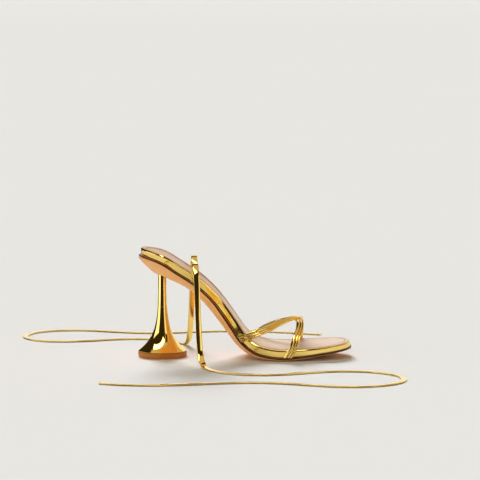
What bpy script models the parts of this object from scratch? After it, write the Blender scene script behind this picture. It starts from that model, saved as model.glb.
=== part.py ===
"""Lace-up heeled sandal for the right foot: a padded footbed on a flared heel, crossed toe straps and two ties.

Metres, +Z up, the toe towards +X and the lateral side towards -Y. The origin is on the floor, at the centre
of the heel tip. The sandal is modelled empty and standing, with its two ties hanging to the floor and lying there.
"""

import math
from bisect import bisect_right
from typing import NamedTuple

import bmesh
import bpy
from mathutils import Vector

# Sole: sizes of the last that the sandal is built on
SANDAL_LENGTH = 0.2101  # heel rim to toe, along the floor
BALL_WIDTH = 0.079  # footbed across the ball
HEEL_LIFT = 0.1000  # how far the heel rim rises above the forefoot
TOE_SPRING = 0.0044  # rise of the footbed's top edge at the toe
HEEL_ROUND = 0.0265  # radius of the heel end in plan
TOE_ROUND = 0.0300  # length of the toe's rounding
TOE_SQUARENESS = 2.3  # 2 is a round toe, more is squarer
ARCH_LIFT = 0.0010  # how far the medial edge rises at the waist
ARCH_CENTRE = 0.30  # share of the length where the arch is highest
ARCH_SPREAD = 0.15  # share of the length over which it fades
CUP_DEPTH = 0.0022  # how far the middle of the heel seat lies below its rim

# Sole: layers
BAND_THICKNESS = 0.0078  # footbed, from its top edge to the seam
BAND_TAPER = 0.0010  # how far the footbed's side leans in at the seam
EDGE_ROLL = 0.0026  # radius of the footbed's padded top edge
TREAD_THICKNESS = 0.0040  # outsole under the ball
SEAT_DEPTH = 0.0145  # outsole under the heel seat
FLANGE = 0.0014  # how far the outsole's rim stands out past the footbed
TOE_FLANGE = 0.0002  # the same at the toe
FLANGE_EDGE = 0.0010  # height of that rim
KEEL_BULGE = 1.7  # 1 is a straight side from rim to keel, more is fuller
TREAD_PRESS = 0.0006  # how much of the forefoot the floor has flattened
INSOLE_THICKNESS = 0.0008
INSOLE_INSET = 0.0024  # from the footbed's edge to the insole's
GAP = 0.0003  # between pieces that touch

# Heel: an exponential horn on a round tip
HEEL_SETBACK = 0.0213  # heel's axis ahead of the heel rim
STEM_RADIUS = 0.0039
FLARE_RADIUS = 0.0242
FLARE_LENGTH = 0.0142  # height over which the flare shrinks to a third
TIP_RADIUS = FLARE_RADIUS + 0.0002
TIP_HEIGHT = 0.0056
TIP_BEVEL = 0.0006

# Toe straps: three rolled cords side by side on a lining
STRAP_WIDTH = 0.0076
STRAP_THICKNESS = 0.0026
STRAP_GROOVE = 0.0010  # depth of the grooves between the cords
STRAP_CORDS = 3
STRAP_GAP = 0.0005  # between its lining and the footbed's side
CROSSING_LIFT = 0.0017  # how far the upper strap rides over the lower one
CROSSING_TURN = 92.0  # degrees round the foot where the straps cross
CROSSING_SPREAD = 26.0
RIDGE_HEIGHT = 0.0242  # foot's thickness under the crossing
RIDGE_SLOPE = 0.14  # how fast it thickens towards the heel
RIDGE_AT = 0.1560  # where RIDGE_HEIGHT is taken, from the heel rim

# Ties: flat straps folded from the upper's material
TIE_WIDTH = 0.0060
TIE_THICKNESS = 0.0015
TIE_ROOT = 0.65  # share of the width at the seam, where the tie is gathered
TIE_ROOT_LENGTH = 0.012

# Mesh density
MIDDLE_STATIONS = 27
CAP_TURNS = (8, 24, 40, 56, 73)  # degrees round each end of the sole
TOP_POINTS = 8
ROLL_POINTS = 3
KEEL_POINTS = 4
STRAP_STATIONS = 34
CORD_POINTS = 3
HEEL_SEGMENTS = 40
HEEL_RINGS = 13
TIE_STATIONS = 96
TIE_FINE_STEPS = 12  # steps between two rows of a tie when its length is measured


class Station(NamedTuple):
    """A cross-section of the sole."""

    along: float  # share of SANDAL_LENGTH, from the heel rim
    rise: float  # share of HEEL_LIFT
    spring: float  # share of TOE_SPRING
    lateral: float  # half width on the outer side, share of BALL_WIDTH
    medial: float  # half width on the inner side, share of BALL_WIDTH
    thin: float  # share of BAND_THICKNESS and TREAD_THICKNESS
    seat: float  # 0 is a flat tread, 1 the full SEAT_DEPTH
    keel: float  # half width of the underside, share of the rim's


STATIONS = (
    Station(0.000, 0.992, 0.00, 0.335, 0.335, 0.93, 1.00, 0.30),
    Station(0.101, 0.935, 0.00, 0.335, 0.335, 0.95, 0.90, 0.36),
    Station(0.205, 0.805, 0.00, 0.314, 0.308, 1.00, 0.48, 0.52),
    Station(0.287, 0.690, 0.00, 0.290, 0.262, 1.00, 0.32, 0.62),
    Station(0.369, 0.525, 0.00, 0.284, 0.238, 0.98, 0.34, 0.66),
    Station(0.451, 0.290, 0.00, 0.345, 0.274, 0.98, 0.24, 0.72),
    Station(0.512, 0.110, 0.00, 0.423, 0.352, 1.00, 0.12, 0.80),
    Station(0.573, 0.030, 0.00, 0.474, 0.424, 1.00, 0.05, 0.86),
    Station(0.672, 0.000, 0.00, 0.501, 0.492, 0.98, 0.00, 0.90),
    Station(0.767, 0.000, 0.10, 0.478, 0.499, 0.86, 0.00, 0.91),
    Station(0.880, 0.000, 0.47, 0.408, 0.460, 0.68, 0.00, 0.90),
    Station(1.000, 0.000, 1.00, 0.345, 0.437, 0.58, 0.00, 0.86),
)
SMOOTHING = 0.022  # share of the length over which the table's values are averaged
LEAN_END = 0.14  # share of the length over which the layers turn square to the slope
LEAN_START = 0.25  # how far they are turned at the heel rim


class StrapRow(NamedTuple):
    """A point of a toe strap's middle line."""

    turn: float  # degrees round the foot, from the lateral edge over the top to the medial edge
    from_rim: float  # distance from the heel rim, share of SANDAL_LENGTH


# The over strap runs from the back of the lateral side to the front of the medial side
OVER_STRAP = (
    StrapRow(0, 0.505),
    StrapRow(24, 0.555),
    StrapRow(43, 0.607),
    StrapRow(62, 0.657),
    StrapRow(78, 0.705),
    StrapRow(92, 0.740),
    StrapRow(106, 0.755),
    StrapRow(130, 0.762),
    StrapRow(156, 0.762),
    StrapRow(180, 0.760),
)
# The under strap runs from the front of the lateral side to the back of the medial side
UNDER_STRAP = (
    StrapRow(0, 0.716),
    StrapRow(25, 0.736),
    StrapRow(50, 0.753),
    StrapRow(72, 0.757),
    StrapRow(88, 0.748),
    StrapRow(104, 0.726),
    StrapRow(126, 0.688),
    StrapRow(150, 0.622),
    StrapRow(165, 0.580),
    StrapRow(180, 0.540),
)
OVER_FEET = (0.497, 0.758)  # where its ends meet the seam, share of SANDAL_LENGTH
UNDER_FEET = (0.697, 0.532)


class TieRow(NamedTuple):
    """A point of a tie's middle line, in metres."""

    x: float
    y: float
    z: float


# Each tie leaves the seam beside the arch, flops over and falls to the floor, where it lies in loose curves
LYING = 0.00085  # height of a tie's middle line where it lies on the floor
TIE_LATERAL = (
    TieRow(0.0312, -0.0238, 0.0778),
    TieRow(0.0316, -0.0256, 0.0840),
    TieRow(0.0325, -0.0285, 0.0915),
    TieRow(0.0332, -0.0350, 0.0968),
    TieRow(0.0340, -0.0430, 0.0962),
    TieRow(0.0348, -0.0495, 0.0893),
    TieRow(0.0356, -0.0535, 0.0770),
    TieRow(0.0363, -0.0560, 0.0600),
    TieRow(0.0370, -0.0582, 0.0410),
    TieRow(0.0379, -0.0610, 0.0235),
    TieRow(0.0395, -0.0662, 0.0098),
    TieRow(0.0420, -0.0755, 0.0026),
    TieRow(0.0460, -0.0880, LYING),
    TieRow(0.0540, -0.1040, LYING),
    TieRow(0.0680, -0.1180, LYING),
    TieRow(0.0860, -0.1255, LYING),
    TieRow(0.1060, -0.1265, LYING),
    TieRow(0.1260, -0.1210, LYING),
    TieRow(0.1450, -0.1125, LYING),
    TieRow(0.1650, -0.1055, LYING),
    TieRow(0.1860, -0.1040, LYING),
    TieRow(0.2060, -0.1095, LYING),
    TieRow(0.2220, -0.1220, LYING),
    TieRow(0.2310, -0.1395, LYING),
    TieRow(0.2315, -0.1590, LYING),
    TieRow(0.2235, -0.1770, LYING),
    TieRow(0.2085, -0.1900, LYING),
    TieRow(0.1895, -0.1965, LYING),
    TieRow(0.1690, -0.1960, LYING),
    TieRow(0.1490, -0.1900, LYING),
    TieRow(0.1300, -0.1820, LYING),
    TieRow(0.1105, -0.1755, LYING),
    TieRow(0.0900, -0.1730, LYING),
    TieRow(0.0695, -0.1745, LYING),
    TieRow(0.0492, -0.1790, LYING),
    TieRow(0.0288, -0.1842, LYING),
    TieRow(0.0080, -0.1880, LYING),
    TieRow(-0.0130, -0.1885, LYING),
    TieRow(-0.0335, -0.1850, LYING),
    TieRow(-0.0528, -0.1775, LYING),
)
TIE_MEDIAL = (
    TieRow(0.0312, 0.0225, 0.0778),
    TieRow(0.0316, 0.0243, 0.0840),
    TieRow(0.0318, 0.0272, 0.0915),
    TieRow(0.0315, 0.0337, 0.0968),
    TieRow(0.0309, 0.0417, 0.0962),
    TieRow(0.0302, 0.0482, 0.0893),
    TieRow(0.0295, 0.0522, 0.0770),
    TieRow(0.0288, 0.0547, 0.0600),
    TieRow(0.0280, 0.0569, 0.0410),
    TieRow(0.0270, 0.0597, 0.0235),
    TieRow(0.0253, 0.0649, 0.0098),
    TieRow(0.0225, 0.0740, 0.0026),
    TieRow(0.0175, 0.0860, LYING),
    TieRow(0.0075, 0.1010, LYING),
    TieRow(-0.0075, 0.1125, LYING),
    TieRow(-0.0260, 0.1180, LYING),
    TieRow(-0.0455, 0.1170, LYING),
    TieRow(-0.0645, 0.1105, LYING),
    TieRow(-0.0830, 0.1030, LYING),
    TieRow(-0.1020, 0.0985, LYING),
    TieRow(-0.1215, 0.1005, LYING),
    TieRow(-0.1380, 0.1100, LYING),
    TieRow(-0.1480, 0.1265, LYING),
    TieRow(-0.1495, 0.1460, LYING),
    TieRow(-0.1425, 0.1645, LYING),
    TieRow(-0.1280, 0.1780, LYING),
    TieRow(-0.1090, 0.1840, LYING),
    TieRow(-0.0890, 0.1835, LYING),
    TieRow(-0.0695, 0.1775, LYING),
    TieRow(-0.0505, 0.1700, LYING),
    TieRow(-0.0310, 0.1645, LYING),
    TieRow(-0.0110, 0.1630, LYING),
    TieRow(0.0090, 0.1660, LYING),
    TieRow(0.0285, 0.1715, LYING),
    TieRow(0.0483, 0.1762, LYING),
    TieRow(0.0685, 0.1785, LYING),
    TieRow(0.0888, 0.1775, LYING),
    TieRow(0.1087, 0.1735, LYING),
    TieRow(0.1280, 0.1670, LYING),
    TieRow(0.1468, 0.1590, LYING),
    TieRow(0.1640, 0.1512, LYING),
)


def clear_scene():
    """Remove what the file opened with."""
    for thing in list(bpy.data.objects):
        bpy.data.objects.remove(thing, do_unlink=True)


def collection(name):
    """A new collection in the scene."""
    made = bpy.data.collections.new(name)
    bpy.context.scene.collection.children.link(made)
    return made


def material(name, colour, roughness, metallic):
    """A Principled material."""
    made = bpy.data.materials.new(name)
    made.use_nodes = True
    shader = made.node_tree.nodes["Principled BSDF"]
    shader.inputs["Base Color"].default_value = (*colour, 1.0)
    shader.inputs["Roughness"].default_value = roughness
    shader.inputs["Metallic"].default_value = metallic
    return made


def smoothstep(value):
    """0 to 1 with flat ends."""
    held = min(max(value, 0.0), 1.0)
    return held * held * (3 - 2 * held)


def through(keys, values, at):
    """A curve through the values, level where they turn back, read at one place."""
    at = min(max(at, keys[0]), keys[-1])
    i = min(max(bisect_right(keys, at) - 1, 0), len(keys) - 2)

    def chord(j):
        return (values[j + 1] - values[j]) / (keys[j + 1] - keys[j])

    def slope(j):
        if j == 0:
            return chord(0)
        if j == len(keys) - 1:
            return chord(j - 1)
        before, after = chord(j - 1), chord(j)
        if before * after <= 0:
            return 0.0
        return 2 * before * after / (before + after)

    span = keys[i + 1] - keys[i]
    t = (at - keys[i]) / span
    return (
        values[i] * (1 + 2 * t) * (1 - t) ** 2
        + slope(i) * span * t * (1 - t) ** 2
        + values[i + 1] * t * t * (3 - 2 * t)
        + slope(i + 1) * span * t * t * (t - 1)
    )


def sole_value(column, along):
    """A column of STATIONS at any place along the sole, averaged over a short stretch."""
    keys = [row.along for row in STATIONS]
    values = [getattr(row, column) for row in STATIONS]
    reach = min(SMOOTHING, along, 1 - along) if 0 < along < 1 else 0.0
    reads = [through(keys, values, along + reach * step / 2) for step in (-2, -1, 0, 1, 2)]
    weights = (1, 2, 3, 2, 1)
    return sum(w * r for w, r in zip(weights, reads)) / sum(weights)


def rim_share(along):
    """How much of its full width the sole has, as it closes round the heel and the toe."""
    from_heel = along * SANDAL_LENGTH / HEEL_ROUND
    from_toe = (1 - along) * SANDAL_LENGTH / TOE_ROUND
    share = 1.0
    if from_heel < 1:
        share *= math.sqrt(max(1 - (1 - from_heel) ** 2, 0.0))
    if from_toe < 1:
        share *= max(1 - (1 - from_toe) ** TOE_SQUARENESS, 0.0) ** (1 / TOE_SQUARENESS)
    return share


def band_thickness(along):
    """Footbed, from its top edge to the seam."""
    return BAND_THICKNESS * sole_value("thin", along)


def sole_thickness(along):
    """Outsole, from the seam to its underside."""
    seat = sole_value("seat", along) * rim_share(along) ** 2
    return TREAD_THICKNESS * sole_value("thin", along) + (SEAT_DEPTH - TREAD_THICKNESS) * seat


def edge_height(along):
    """Height above the floor of the footbed's top edge."""
    ball = 0.672
    under_ball = band_thickness(ball) + GAP + sole_thickness(ball) - TREAD_PRESS
    return (
        under_ball
        + HEEL_LIFT * sole_value("rise", along)
        + TOE_SPRING * sole_value("spring", along)
    )


def layer_normal(along):
    """Direction in which the sole's layers are stacked."""
    step = 0.004
    low, high = max(along - step, 0.0), min(along + step, 1.0)
    climb = edge_height(high) - edge_height(low)
    slope = math.atan2(climb, (high - low) * SANDAL_LENGTH)
    slope *= LEAN_START + (1 - LEAN_START) * smoothstep(along / LEAN_END)
    return Vector((-math.sin(slope), 0.0, math.cos(slope)))


def flange(along):
    """How far the outsole's rim stands out past the footbed."""
    return FLANGE + (TOE_FLANGE - FLANGE) * smoothstep((along - 0.6) / 0.4)


def sole_point(along, across, depth, grow=0.0):
    """A point of the sole.

    across runs from -1 at the lateral rim to 1 at the medial rim, depth is measured down from the top edge,
    and grow is how far the outline stands out past the footbed's.
    """
    lateral = (BALL_WIDTH * sole_value("lateral", along) + grow) * rim_share(along)
    medial = (BALL_WIDTH * sole_value("medial", along) + grow) * rim_share(along)
    middle = BALL_WIDTH * (sole_value("medial", along) - sole_value("lateral", along)) / 2
    half = (lateral + medial) / 2
    x = along * (SANDAL_LENGTH + 2 * grow) - grow - HEEL_SETBACK
    edge = Vector((x, middle + half * across, edge_height(along)))
    return edge - layer_normal(along) * depth


def dip(along, across):
    """How far the footbed's top lies below its lateral edge: a cupped heel and a raised medial arch."""
    cup = CUP_DEPTH * (1 - across * across) * (1 - smoothstep((along - 0.30) / 0.25))
    cup *= rim_share(along) ** 2
    arch = ARCH_LIFT * math.exp(-(((along - ARCH_CENTRE) / ARCH_SPREAD) ** 2))
    return cup - arch * max(across, 0.0) ** 2


def station_places():
    """Shares of the length where the sole's sections are taken, closer together round the ends."""
    heel = HEEL_ROUND / SANDAL_LENGTH
    toe = TOE_ROUND / SANDAL_LENGTH
    ends = [1 - math.cos(math.radians(turn)) for turn in CAP_TURNS]
    middle = [heel + (1 - toe - heel) * i / (MIDDLE_STATIONS - 1) for i in range(MIDDLE_STATIONS)]
    return [heel * e for e in ends] + middle + [1 - toe * e for e in reversed(ends)]


def loft(name, rings, parts, finish):
    """A closed solid through rings of equally many points, with a flat face at each end."""
    mesh = bpy.data.meshes.new(name)
    build = bmesh.new()
    rows = [[build.verts.new(point) for point in ring] for ring in rings]
    for row, following in zip(rows, rows[1:]):
        for i in range(len(row)):
            j = (i + 1) % len(row)
            build.faces.new((row[i], row[j], following[j], following[i]))
    build.faces.new(rows[0])
    build.faces.new(rows[-1])
    bmesh.ops.recalc_face_normals(build, faces=build.faces)
    build.to_mesh(mesh)
    build.free()
    mesh.materials.append(finish)
    mesh.shade_smooth()
    mesh.set_sharp_from_angle(angle=math.radians(40))
    made = bpy.data.objects.new(name, mesh)
    parts.objects.link(made)
    return made


def footbed_ring(along):
    """Footbed's section: a flat underside, sides that lean in, padded edges and a dished top."""
    band = band_thickness(along)
    share = rim_share(along)
    roll = EDGE_ROLL * min(share * 2, 1.0)
    half = BALL_WIDTH * (sole_value("lateral", along) + sole_value("medial", along)) / 2 * share
    ring = []
    for side in (-1, 1):
        edge = []
        for i in range(ROLL_POINTS + 1):
            turn = math.radians(90 * i / ROLL_POINTS)
            inward = roll * (1 - math.cos(turn)) / half
            edge.append((side * (1 - inward), roll * (1 - math.sin(turn))))
        if side > 0:
            edge.reverse()
        foot = sole_point(along, side, band, grow=-BAND_TAPER)
        rise = [sole_point(along, across, depth + dip(along, across)) for across, depth in edge]
        if side < 0:
            ring += [foot, *rise]
            inner = 1 - roll / half
            steps = [inner * (2 * i / TOP_POINTS - 1) for i in range(1, TOP_POINTS)]
            ring += [sole_point(along, across, dip(along, across)) for across in steps]
        else:
            ring += [*rise, foot]
    return ring


def outsole_ring(along, spare=0.0):
    """Outsole's section: a thin rim under the footbed and sides that close in to the keel."""
    seam = band_thickness(along) + GAP
    deep = sole_thickness(along) + spare
    keel = sole_value("keel", along)
    sides = []
    for side in (-1, 1):
        rim = sole_point(along, side, seam, grow=flange(along) + spare)
        hull = []
        for i in range(KEEL_POINTS + 1):
            t = i / KEEL_POINTS
            across = side * (keel + (1 - keel) * (1 - t**KEEL_BULGE))
            edge = min(FLANGE_EDGE, deep / 2)
            depth = seam + edge + (deep - edge) * t
            hull.append(sole_point(along, across, depth, grow=flange(along) + spare))
        sides.append([rim, *hull])
    ring = list(reversed(sides[0])) + sides[1]
    if spare:
        return ring
    return [Vector((p.x, p.y, max(p.z, 0.0))) for p in ring]


def insole_ring(along):
    """Insole's section: a thin sheet that follows the footbed's top."""
    steps = [2 * i / TOP_POINTS - 1 for i in range(TOP_POINTS + 1)]
    low = [
        sole_point(along, across, dip(along, across) - GAP, grow=-INSOLE_INSET) for across in steps
    ]
    high = [
        sole_point(along, across, dip(along, across) - GAP - INSOLE_THICKNESS, grow=-INSOLE_INSET)
        for across in reversed(steps)
    ]
    return low + high


def flare_radius(height):
    """Radius of the heel at a height above the floor."""
    above = height - TIP_HEIGHT - GAP
    return STEM_RADIUS + (FLARE_RADIUS - STEM_RADIUS) * math.exp(-above / FLARE_LENGTH)


def heel(parts, cutters, finish):
    """Flared heel, turned and then cut to the outsole's underside."""
    centre = HEEL_SETBACK / SANDAL_LENGTH
    top = edge_height(centre) - band_thickness(centre) - sole_thickness(centre) / 2
    bottom = TIP_HEIGHT + GAP
    heights = [bottom + (top - bottom) * (i / HEEL_RINGS) ** 1.6 for i in range(HEEL_RINGS + 1)]
    rings = []
    for height in heights:
        radius = flare_radius(height)
        turns = [2 * math.pi * i / HEEL_SEGMENTS for i in range(HEEL_SEGMENTS)]
        rings.append([Vector((radius * math.cos(a), radius * math.sin(a), height)) for a in turns])
    made = loft("heel", rings, parts, finish)
    seat = loft("heel_seat_cutter", [outsole_ring(a, GAP) for a in station_places()], cutters, finish)
    seat.hide_render = True
    seat.display_type = "WIRE"
    cut = made.modifiers.new("heel_seat", "BOOLEAN")
    cut.operation = "DIFFERENCE"
    cut.object = seat
    return made


def heel_tip(parts, finish):
    """Round top piece under the heel."""
    bpy.ops.mesh.primitive_cylinder_add(
        vertices=HEEL_SEGMENTS, radius=TIP_RADIUS, depth=TIP_HEIGHT, location=(0, 0, TIP_HEIGHT / 2)
    )
    made = bpy.context.object
    made.name = "heel_tip"
    made.data.name = "heel_tip"
    for owner in made.users_collection:
        owner.objects.unlink(made)
    parts.objects.link(made)
    made.data.materials.append(finish)
    bevel = made.modifiers.new("rounded_rims", "BEVEL")
    bevel.width = TIP_BEVEL
    bevel.segments = 2
    bevel.limit_method = "ANGLE"
    made.data.shade_smooth()
    made.data.set_sharp_from_angle(angle=math.radians(40))
    return made


def cord_profile():
    """A toe strap's section, (across, outward): a flat lining under rolled cords."""
    inner = -STRAP_THICKNESS / 2
    crest = STRAP_THICKNESS / 2
    groove = crest - STRAP_GROOVE
    cord = STRAP_WIDTH / STRAP_CORDS
    points = [(-STRAP_WIDTH / 2, inner)]
    for n in range(STRAP_CORDS):
        start = -STRAP_WIDTH / 2 + n * cord
        for i in range(CORD_POINTS + 1):
            if n and not i:
                continue
            share = i / CORD_POINTS
            points.append((start + cord * share, groove + STRAP_GROOVE * math.sin(math.pi * share)))
    points.append((STRAP_WIDTH / 2, inner))
    return points


def foot_point(turn, along):
    """A point of the foot's skin, round from the footbed's lateral edge at 0 degrees to its medial edge at 180."""
    angle = math.radians(turn)
    lateral = sole_point(along, -1, 0.0)
    medial = sole_point(along, 1, 0.0)
    half = (medial.y - lateral.y) / 2
    ridge = RIDGE_HEIGHT + RIDGE_SLOPE * (RIDGE_AT - along * SANDAL_LENGTH)
    y = (medial.y + lateral.y) / 2 - half * math.cos(angle)
    return Vector((lateral.x, y, edge_height(along) + ridge * math.sin(angle)))


def side_point(side, along, depth):
    """A point of the footbed's side, at a depth below its top edge."""
    lean = max(depth - EDGE_ROLL, 0.0) / (band_thickness(along) - EDGE_ROLL)
    return sole_point(along, side, depth, grow=-BAND_TAPER * lean)


def strap_line(rows, feet, lift):
    """Middle line of a toe strap with its outward directions, from the lateral seam to the medial seam.

    At the seams its ends lie along the outsole, so those rows state the direction across the strap too.
    """
    clear = STRAP_GAP + STRAP_THICKNESS / 2
    turns = [row.turn for row in rows]
    shares = [row.from_rim for row in rows]
    step = 0.004
    ends = []
    for side, foot, share in ((-1, feet[0], shares[0]), (1, feet[1], shares[-1])):
        end = []
        for climbed in (0.0, 0.5):
            along = foot + (share - foot) * climbed
            depth = (band_thickness(along) - GAP) * (1 - climbed)
            place = side_point(side, along, depth)
            forward = side_point(side, along + step, depth) - side_point(side, along - step, depth)
            away = (forward.cross(layer_normal(along)) * -side).normalized()
            across = forward.normalized() if climbed == 0.0 else None
            end.append((place + away * clear, away, across))
        ends.append(end)
    over = []
    for i in range(STRAP_STATIONS + 1):
        turn = 180.0 * i / STRAP_STATIONS
        along = through(turns, shares, turn)
        forward = foot_point(turn, along + step) - foot_point(turn, along - step)
        around = foot_point(turn + 1, along) - foot_point(turn - 1, along)
        away = forward.cross(around).normalized()
        away = away if away.z > 0 or away.y * (turn - 90) > 0 else -away
        hump = math.exp(-(((turn - CROSSING_TURN) / CROSSING_SPREAD) ** 2))
        over.append((foot_point(turn, along) + away * (clear + lift * hump), away, None))
    return ends[0] + over + list(reversed(ends[1]))


def sweep(name, line, profile, parts, finish):
    """A solid with one section carried along a line, its outward side facing the line's directions."""
    rings = []
    for i, (place, away, across) in enumerate(line):
        before = line[max(i - 1, 0)][0]
        after = line[min(i + 1, len(line) - 1)][0]
        ahead = (after - before).normalized()
        if across is None:
            across = ahead.cross(away).normalized()
            outward = across.cross(ahead).normalized()
        else:
            across = across if across.dot(ahead.cross(away)) > 0 else -across
            outward = away
        rings.append([place + across * u + outward * v for u, v in profile])
    return loft(name, rings, parts, finish)


def upper(parts, cutters, finish):
    """Both toe straps, joined where they cross."""
    over = sweep("upper", strap_line(OVER_STRAP, OVER_FEET, CROSSING_LIFT), cord_profile(), parts, finish)
    under = sweep("under_strap", strap_line(UNDER_STRAP, UNDER_FEET, 0.0), cord_profile(), cutters, finish)
    under.hide_render = True
    under.display_type = "WIRE"
    join = over.modifiers.new("crossing", "BOOLEAN")
    join.operation = "UNION"
    join.object = under
    return over


def spline(before, start, end, after, t):
    """A smooth curve from start to end that passes through its neighbours' points."""
    a = 2 * start
    b = end - before
    c = 2 * before - 5 * start + 4 * end - after
    d = -before + 3 * start - 3 * end + after
    return (a + b * t + c * t * t + d * t**3) / 2


def evenly(rows, stations):
    """Points at equal distances on the smooth curve through the rows, with their directions."""
    points = [Vector(row) for row in rows]
    points = [2 * points[0] - points[1], *points, 2 * points[-1] - points[-2]]
    fine = []
    for i in range(1, len(points) - 2):
        for step in range(TIE_FINE_STEPS):
            fine.append(spline(*points[i - 1 : i + 3], step / TIE_FINE_STEPS))
    fine.append(points[-2])
    lengths = [0.0]
    for before, after in zip(fine, fine[1:]):
        lengths.append(lengths[-1] + (after - before).length)
    line = []
    for i in range(stations):
        at = lengths[-1] * i / (stations - 1)
        j = min(max(bisect_right(lengths, at) - 1, 0), len(fine) - 2)
        share = (at - lengths[j]) / (lengths[j + 1] - lengths[j])
        ahead = (fine[min(j + 2, len(fine) - 1)] - fine[max(j - 1, 0)]).normalized()
        line.append((fine[j].lerp(fine[j + 1], share), ahead, at))
    return line


def tie(name, rows, parts, finish):
    """A flat tie whose width stays level, so that it lies flat where it reaches the floor."""
    rings = []
    for place, ahead, at in evenly(rows, TIE_STATIONS):
        across = Vector((-ahead.y, ahead.x, 0.0)).normalized()
        outward = ahead.cross(across)
        root = smoothstep(at / TIE_ROOT_LENGTH)
        u = across * TIE_WIDTH / 2 * (TIE_ROOT + (1 - TIE_ROOT) * root)
        v = outward * TIE_THICKNESS / 2
        rings.append([place - u - v, place + u - v, place + u + v, place - u + v])
    return loft(name, rings, parts, finish)


def main():
    """Build every piece of the sandal."""
    clear_scene()
    parts = collection("lace_up_heeled_sandal")
    cutters = collection("cutters")
    gold = material("gold_foil", (0.86, 0.60, 0.20), 0.12, 1.0)
    nude = material("nude_lining", (0.80, 0.62, 0.50), 0.45, 0.0)
    tan = material("tan_sole", (0.72, 0.44, 0.20), 0.42, 0.0)
    brown = material("brown_tip", (0.42, 0.20, 0.08), 0.40, 0.0)
    places = station_places()
    loft("footbed", [footbed_ring(a) for a in places], parts, gold)
    loft("outsole", [outsole_ring(a) for a in places], parts, tan)
    loft("insole", [insole_ring(a) for a in places], parts, nude)
    heel(parts, cutters, gold)
    heel_tip(parts, brown)
    upper(parts, cutters, gold)
    tie("tie_lateral", TIE_LATERAL, parts, gold)
    tie("tie_medial", TIE_MEDIAL, parts, gold)


main()
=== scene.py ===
"""Looks of a lace-up heeled sandal: mirror gold foil, nude lining, tan sole and two ties that lie uncoiled.

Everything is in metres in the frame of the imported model: the toe points to +X, the lateral side to -Y and the
origin is on the floor under the middle of the heel tip.
"""

import logging
import math
from bisect import bisect_right
from dataclasses import dataclass, field
from enum import Enum
from functools import lru_cache
from typing import Callable, NamedTuple, Sequence

import bmesh
import bpy
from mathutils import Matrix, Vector


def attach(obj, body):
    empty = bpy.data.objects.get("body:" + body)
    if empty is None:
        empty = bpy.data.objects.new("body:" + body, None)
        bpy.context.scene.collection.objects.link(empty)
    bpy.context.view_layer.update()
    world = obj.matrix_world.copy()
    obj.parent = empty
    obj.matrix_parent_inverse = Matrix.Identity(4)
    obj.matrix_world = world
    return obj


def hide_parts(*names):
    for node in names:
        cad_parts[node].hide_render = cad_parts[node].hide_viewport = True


LOG = logging.getLogger("sandal")
MM = 0.001
ROOT = "root"

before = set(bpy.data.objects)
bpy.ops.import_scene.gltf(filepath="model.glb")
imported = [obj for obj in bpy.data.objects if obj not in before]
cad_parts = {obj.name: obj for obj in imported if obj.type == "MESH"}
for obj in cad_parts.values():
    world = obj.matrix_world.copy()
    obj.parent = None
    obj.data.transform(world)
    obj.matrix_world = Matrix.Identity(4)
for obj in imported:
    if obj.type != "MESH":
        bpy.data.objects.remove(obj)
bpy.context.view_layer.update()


class Slot(Enum):
    """Material slots of the record."""

    FOIL = "gold_foil"
    HEEL = "gold_heel"
    LINING = "lining"
    SOLE = "sole"
    TIP = "tip"


class Side(Enum):
    """Sides of a right shoe, as the sign of Y."""

    LATERAL = -1
    MEDIAL = 1


class Station(NamedTuple):
    """A cross-section of the sole."""

    along: float  # share of the length, from the heel rim
    rise: float  # share of the heel lift
    spring: float  # share of the toe spring
    lateral: float  # half width on the outer side, share of the ball width
    medial: float  # half width on the inner side, share of the ball width
    thin: float  # share of the band's and the tread's thickness
    seat: float  # 0 is a flat tread, 1 the full seat depth
    keel: float  # half width of the underside, share of the rim's


class StrapRow(NamedTuple):
    """A point of a toe strap's middle line."""

    turn: float  # degrees round the foot, from the lateral edge over the top to the medial edge
    from_rim: float  # distance from the heel rim, share of the length


class PathPoint(NamedTuple):
    """A place on a strap or tie with its two directions."""

    place: Vector
    across: Vector
    outward: Vector


class PlanPoint(NamedTuple):
    """A place on the footbed's outline seen from above, with the direction into the footbed."""

    x: float
    y: float
    inward: Vector


def smoothstep(value: float) -> float:
    """0 to 1 with flat ends."""
    held = min(max(value, 0.0), 1.0)
    return held * held * (3 - 2 * held)


def through(keys: Sequence[float], values: Sequence[float], at: float) -> float:
    """Read a curve that passes through the values and is level where they turn back.

    Args:
        keys: Places of the values, rising.
        values: What the curve has at those places.
        at: Where it is read.

    Returns:
        The curve's value there.
    """
    at = min(max(at, keys[0]), keys[-1])
    i = min(max(bisect_right(keys, at) - 1, 0), len(keys) - 2)

    def chord(j: int) -> float:
        return (values[j + 1] - values[j]) / (keys[j + 1] - keys[j])

    def slope(j: int) -> float:
        if j == 0:
            return chord(0)
        if j == len(keys) - 1:
            return chord(j - 1)
        before, after = chord(j - 1), chord(j)
        return 2 * before * after / (before + after) if before * after > 0 else 0.0

    span = keys[i + 1] - keys[i]
    t = (at - keys[i]) / span
    return (
        values[i] * (1 + 2 * t) * (1 - t) ** 2
        + slope(i) * span * t * (1 - t) ** 2
        + values[i + 1] * t * t * (3 - 2 * t)
        + slope(i + 1) * span * t * t * (t - 1)
    )


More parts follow.
